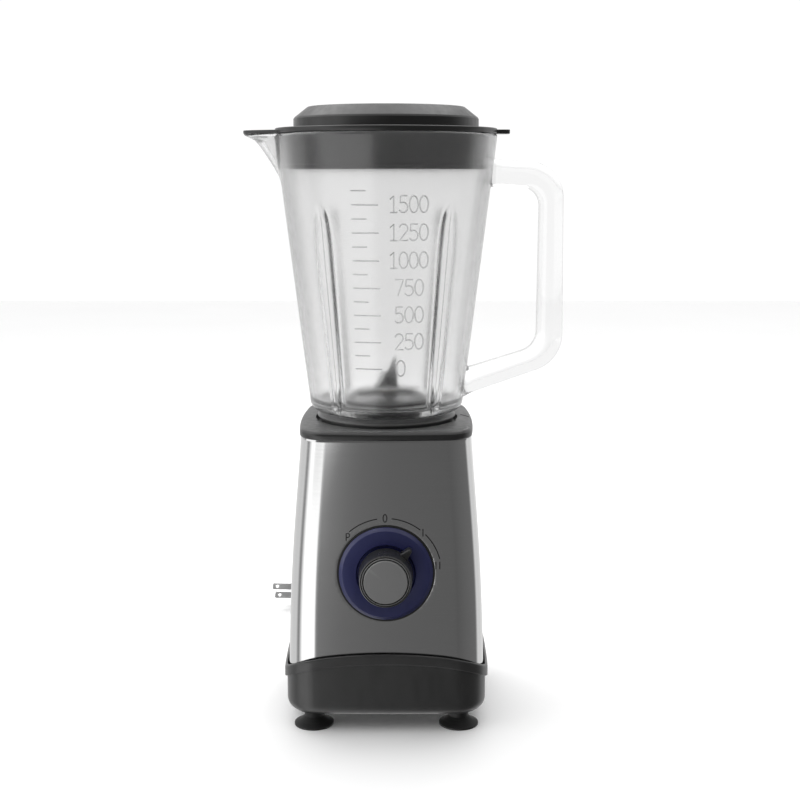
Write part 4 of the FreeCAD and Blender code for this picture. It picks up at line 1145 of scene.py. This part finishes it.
def blade_wing(heading, reach, height, sideways):
    """Points and faces of a wing bent up from the hub and drawn out to a sharp, leaning tip."""
    turn = Matrix.Rotation(math.radians(heading), 3, "Z")
    points = []
    steps = 16
    for i in range(steps + 1):
        s = i / steps
        out, up = WING_ROOT + (reach - WING_ROOT) * s**0.8, height * s**1.5
        half = WING_HALF_WIDTH * (1 - s) ** 0.8 + 0.25
        across = sideways * s
        slope = Vector((0.8 * (reach - WING_ROOT), 1.5 * height * s**0.5)).normalized()
        thick = BLADE_STEEL * (1 - 0.6 * s)
        for side, face in [(-1, 0), (-0.75, 1), (0.75, 1), (1, 0)]:
            x = across + side * half
            y = out - slope.y * thick * face
            z = BLADE_LEVEL + up + slope.x * thick * face
            points.append(tuple(turn @ Vector((x, y, z))))
    return points, grid_faces(steps + 1, 4, close_rows=False) + end_caps(len(points), 4)


def make_blades():
    """Upper blade: a washer on the shaft, a tall wing to the front and a lower one to the back."""
    low, high = BLADE_LEVEL, BLADE_LEVEL + BLADE_STEEL
    washer = soften([(4.0, low, 0), (8.4, low, 0.2), (8.4, high, 0.2), (4.0, high, 0)], steps=2)
    segments = 48
    turns = [TAU * k / segments for k in range(segments)]
    ring = [(r * math.cos(a), r * math.sin(a), z) for r, z in washer for a in turns]
    points, faces = merged([
        blade_wing(180, 13.0, 23.0, -6.0), blade_wing(0, 16.0, 8.0, -3.0),
        (ring, grid_faces(len(washer), segments))])
    return finish_piece(add_mesh("blade_fins", points, faces), "blades", "blade_steel", ["upper_blade"])


def make_deck():
    """Black plate with a broad rounded upper edge, a softer lower one and the jug's round recess."""
    low, floor, recess = DECK_BOTTOM, RECESS_FLOOR, RECESS_RADIUS
    half, top = DECK_HIGH.x, DECK_HIGH.z
    corners = [(half - 5, top, 0), (half, top, DECK_ROUNDING), (half, low, 1.2), (half - 5, low, 0)]
    section = soften(corners, False, 8)
    circle = directions(bulged_square(half, DECK_CORNER, DECK_BULGE))
    rings = [
        (DECK_HOLE, low), (DECK_HOLE, floor), (recess - 0.3, floor), (recess, floor + 0.3),
        (recess, top - 0.4), (recess + 0.12, top - 0.12), (recess + 0.4, top)]
    points = [(p.x * r, p.y * r, z) for r, z in rings for p in circle]
    for reach, z in section:
        points += [(p.x, p.y, z) for p in bulged_square(reach, DECK_CORNER + reach - half, DECK_BULGE)]
    deck = add_mesh("deck", points, grid_faces(len(rings) + len(section), len(circle)), 40)
    finish_piece(deck, "base", "deck_plastic", ["top_deck"])
    # painted shade: the rim's side faces get the darker copy of the deck plastic
    deck.data.materials.append(MATERIALS["deck_painted_shade"])
    for polygon in deck.data.polygons:
        if polygon.normal.z < DECK_SHADE_SLOPE and polygon.center.xy.length > DECK_SHADE_INNER * MM:
            polygon.material_index = 1
    return deck


def make_hub():
    """Domed metal blade unit inside the jug, with its tail through the floor."""
    low, high = box_mm("blade_housing")
    seat = JUG_LOW.z + JUG_FLOOR + 1.0
    tail = JUG_HOLE - 0.4
    profile = [
        (HUB_BORE, low.z, 0), (tail, low.z, 0.4), (tail, seat, 0), (high.x, seat, 0.3),
        (high.x - 0.3, seat + 2.2, 2), (23.0, seat + 5.2, 8), (13.0, high.z - 0.3, 3), (9.6, high.z, 0.4),
        (HUB_BORE, high.z, 0)]
    hub = turned("blade_hub", profile, steps=8, segments=128)
    return finish_piece(hub, "jug", "base_plastic", ["blade_housing"], material="hub_metal")


make_deck()
make_deck_marks()
make_collar()
make_hub()
make_blades()

# ---------------------------------------------------------------- lid
FLANGE_LOW = JUG_HIGH.z + 0.05
FLANGE_TOP = 401.0
FLANGE_RADIUS = 74.5
DOME_RADIUS = 62.1
DOME_SIDE_TOP = 407.0
LID_TOP_RADIUS = 52.6
LID_EDGE_HEIGHT = 415.0
CAP_RADIUS = 24.0
SKIRT_BOTTOM = 374.2
SLEEVE_GAP = 0.05
SLEEVE_THICKNESS = 1.6


def sleeve_inner(z):
    """Radius where the rubber sleeve meets the skirt."""
    return jug_inner(z) - SLEEVE_GAP - SLEEVE_THICKNESS


def make_lid():
    """Lid with a stepped dome, a skirt that carries the sleeve, a lifting tab and a spout cover."""
    top = CAD_BOX[1].z / MM
    skirt, skirt_top = [sleeve_inner(z) for z in (SKIRT_BOTTOM, FLANGE_LOW)]
    profile = [
        (CAP_RADIUS, top - 0.2, 0.5), (CAP_RADIUS + 8, top - 0.2, 3), (LID_TOP_RADIUS, LID_EDGE_HEIGHT, 1.5),
        (DOME_RADIUS - 0.8, DOME_SIDE_TOP + 1.2, 0.8), (DOME_RADIUS, DOME_SIDE_TOP, 0.5),
        (DOME_RADIUS, FLANGE_TOP, 0.6), (FLANGE_RADIUS, FLANGE_TOP, 0.8), (FLANGE_RADIUS, FLANGE_LOW, 0.8),
        (skirt_top, FLANGE_LOW, 0), (skirt, SKIRT_BOTTOM, 0.3), (skirt - 2.4, SKIRT_BOTTOM, 0.3),
        (skirt_top - 2.4, FLANGE_LOW, 0), (DOME_RADIUS - 3, FLANGE_LOW + 1, 0),
        (DOME_RADIUS - 3, DOME_SIDE_TOP - 1, 1), (LID_TOP_RADIUS - 2, LID_EDGE_HEIGHT - 3.2, 1),
        (CAP_RADIUS + 2.4, LID_EDGE_HEIGHT - 2.8, 0), (CAP_RADIUS + 2.4, FLANGE_LOW - 6, 0.3),
        (CAP_RADIUS, FLANGE_LOW - 6, 0.3)]
    shell = turned("lid", profile, steps=4, segments=160)
    finish_piece(shell, "lid", "lid_plastic", ["lid_shell"])
    tab = soften([(70, -9, 0), (82.8, -9, 3.5), (82.8, 9, 3.5), (70, 9, 0)], steps=6)
    slab("lid_tab", tab, FLANGE_LOW, 400.2)
    half = math.radians(SPOUT_HALF_ANGLE + 3)
    reach = -JUG_LOW.x - 1.2
    cover = []
    for i in range(25):
        a = -half + 2 * half * i / 24
        side = max(math.cos(math.pi / 2 * a / half), 0.0) ** 1.5
        r = FLANGE_RADIUS - 1.5 + (reach - FLANGE_RADIUS + 1.5) * side
        cover.append((-r * math.cos(a), r * math.sin(a)))
    cover += [(-64 * math.cos(a), 64 * math.sin(a)) for a in (half, 0, -half)]
    slab("lid_spout_cover", cover, FLANGE_LOW, FLANGE_LOW + 2.2)


def slab(name, outline, low, high):
    """Flat plate of the lid with softened edges."""
    middle = sum((Vector(p) for p in outline), Vector((0, 0))) / len(outline)
    levels = [(low, 0.4), (low + 0.4, 0.0), (high - 0.5, 0.0), (high - 0.15, 0.15), (high, 0.5)]
    return finish_piece(loft(name, inset_rows(outline, middle, levels), 40), "lid", "lid_plastic")


def make_sleeve():
    """Smooth rubber sleeve round the skirt, with a thin bead at its foot."""
    low = SKIRT_BOTTOM + 0.6
    profile = [
        (sleeve_inner(SKIRT_BOTTOM), low, 0), (jug_inner(low) - 0.2, low, 0.6),
        (jug_inner(low + 2) - SLEEVE_GAP, low + 2, 0.8), (jug_inner(low + 3.2) - 0.3, low + 3.2, 0.6),
        (jug_inner(FLANGE_LOW) - 0.3, FLANGE_LOW, 0), (sleeve_inner(FLANGE_LOW), FLANGE_LOW, 0)]
    sleeve = turned("lid_sleeve", profile, steps=4, segments=160)
    return finish_piece(sleeve, "lid", "black_rubber", ["lid_seal"], material="sleeve_rubber")


make_lid()
make_sleeve()

# ---------------------------------------------------------------- the other CAD pieces
for name, node in frame["nodes"].items():
    node.data.materials.clear()
    node.data.materials.append(MATERIALS["wing_steel" if name == "lower_blade" else SLOTS[name]])

# ---------------------------------------------------------------- floor, light and world
FLOOR_HALF = 3.0
floor = add_object("floor", bpy.data.meshes.new("floor"))
corners = [(x * FLOOR_HALF, y * FLOOR_HALF, 0) for x, y in [(-1, -1), (1, -1), (1, 1), (-1, 1)]]
floor.data.from_pydata(corners, [], [(0, 1, 2, 3)])
glow = {"Emission_Color": (1, 1, 1, 1), "Emission_Strength": 0.03}
paper = Shader("paper", Specular_IOR_Level=0.1, Roughness=0.7, **glow)
paper.tint(paper.noise(3, detail=4), (0.95, 0.95, 0.95, 1), (0.965, 0.965, 0.965, 1))
floor.data.materials.append(paper.material)
floor.visible_glossy = False
floor.visible_diffuse = False

overhead = add_object("overhead_light", bpy.data.lights.new("overhead_light", "AREA"))
overhead.data.shape = "RECTANGLE"
overhead.data.size = 1.6
overhead.data.size_y = 1.2
overhead.data.energy = 13
overhead.location = (-0.15, 0.5, 1.4)
overhead.rotation_euler = (Vector((0, 0, 0.1)) - overhead.location).to_track_quat("-Z", "Y").to_euler()

# brightness of the studio by direction, in degrees from the back (90 right, 180 front, 270 left)
SURROUNDINGS = [
    (0, 0.95), (70, 1.1), (76, 0.26), (130, 0.2), (180, 0.17), (215, 0.2), (228, 0.3), (234, 1.9),
    (280, 1.9), (286, 0.5), (300, 0.9), (360, 0.95)]
# the same for polished surfaces that look down, where the pale floor shows to the left
LOW_SURROUNDINGS = [
    (0, 1.0), (72, 1.2), (84, 0.26), (130, 0.22), (165, 0.18), (180, 0.21), (186, 0.25), (190, 0.36),
    (193, 0.85), (196, 2.2), (246, 2.2), (258, 0.9), (262, 0.45), (268, 0.45), (278, 1.15), (360, 1.0)]
FLOOR_BOUNCE = 0.25        # light from below on matt surfaces
OVERHEAD = 1.12
BACKDROP = 1.03
RAMP_TOP = 3.0             # a colour ramp holds levels up to one, so they are scaled by this


def make_world():
    """White studio, whose reflections have a grey front and a bright panel on the left."""
    world = bpy.data.worlds.new("studio")
    bpy.context.scene.world = world
    world.use_nodes = True
    tree = world.node_tree
    background = tree.nodes["Background"]
    background.inputs["Color"].default_value = (1, 1, 1, 1)
    world.cycles.sampling_method = "NONE"

    def math_node(operation, first, second=0.5):
        return add_node(tree, "ShaderNodeMath", {0: first, 1: second}, operation=operation).outputs[0]

    def remap(value, low, high):
        inputs = {"Value": value, "From Min": low, "From Max": high}
        return add_node(tree, "ShaderNodeMapRange", inputs).outputs["Result"]

    def mix(factor, first, second):
        return add_node(tree, "ShaderNodeMix", {0: factor, 2: first, 3: second}).outputs[0]

    way = add_node(tree, "ShaderNodeTexCoord").outputs["Generated"]
    parts = add_node(tree, "ShaderNodeSeparateXYZ", {0: way}).outputs
    # the angle from the back, negative to the left and positive to the right, as a share of a turn
    turn = math_node("ARCTAN2", parts["X"], parts["Y"])
    around = math_node("FRACT", math_node("ADD", remap(turn, -math.pi, math.pi)))

    def by_direction(stops):
        ramp = add_node(tree, "ShaderNodeValToRGB", {"Fac": around})
        elements = ramp.color_ramp.elements
        elements.remove(elements[1])
        for i, (degrees, level) in enumerate(stops):
            element = elements[0] if i == 0 else elements.new(degrees / 360)
            element.position = degrees / 360
            element.color = (level / RAMP_TOP, level / RAMP_TOP, level / RAMP_TOP, 1)
        return math_node("MULTIPLY", ramp.outputs["Color"], RAMP_TOP)

    height = parts["Z"]
    upper = mix(remap(height, 0.5, 0.8), by_direction(SURROUNDINGS), OVERHEAD)
    polished = mix(remap(height, -0.03, 0.01), by_direction(LOW_SURROUNDINGS), upper)
    matt = mix(remap(height, -0.02, 0.02), FLOOR_BOUNCE, upper)
    bounces = add_node(tree, "ShaderNodeLightPath").outputs
    seen = mix(math_node("GREATER_THAN", bounces["Glossy Depth"]), BACKDROP, polished)
    strength = mix(math_node("GREATER_THAN", bounces["Diffuse Depth"]), seen, matt)
    tree.links.new(strength, background.inputs["Strength"])


make_world()
bpy.context.scene.view_settings.view_transform = "Standard"
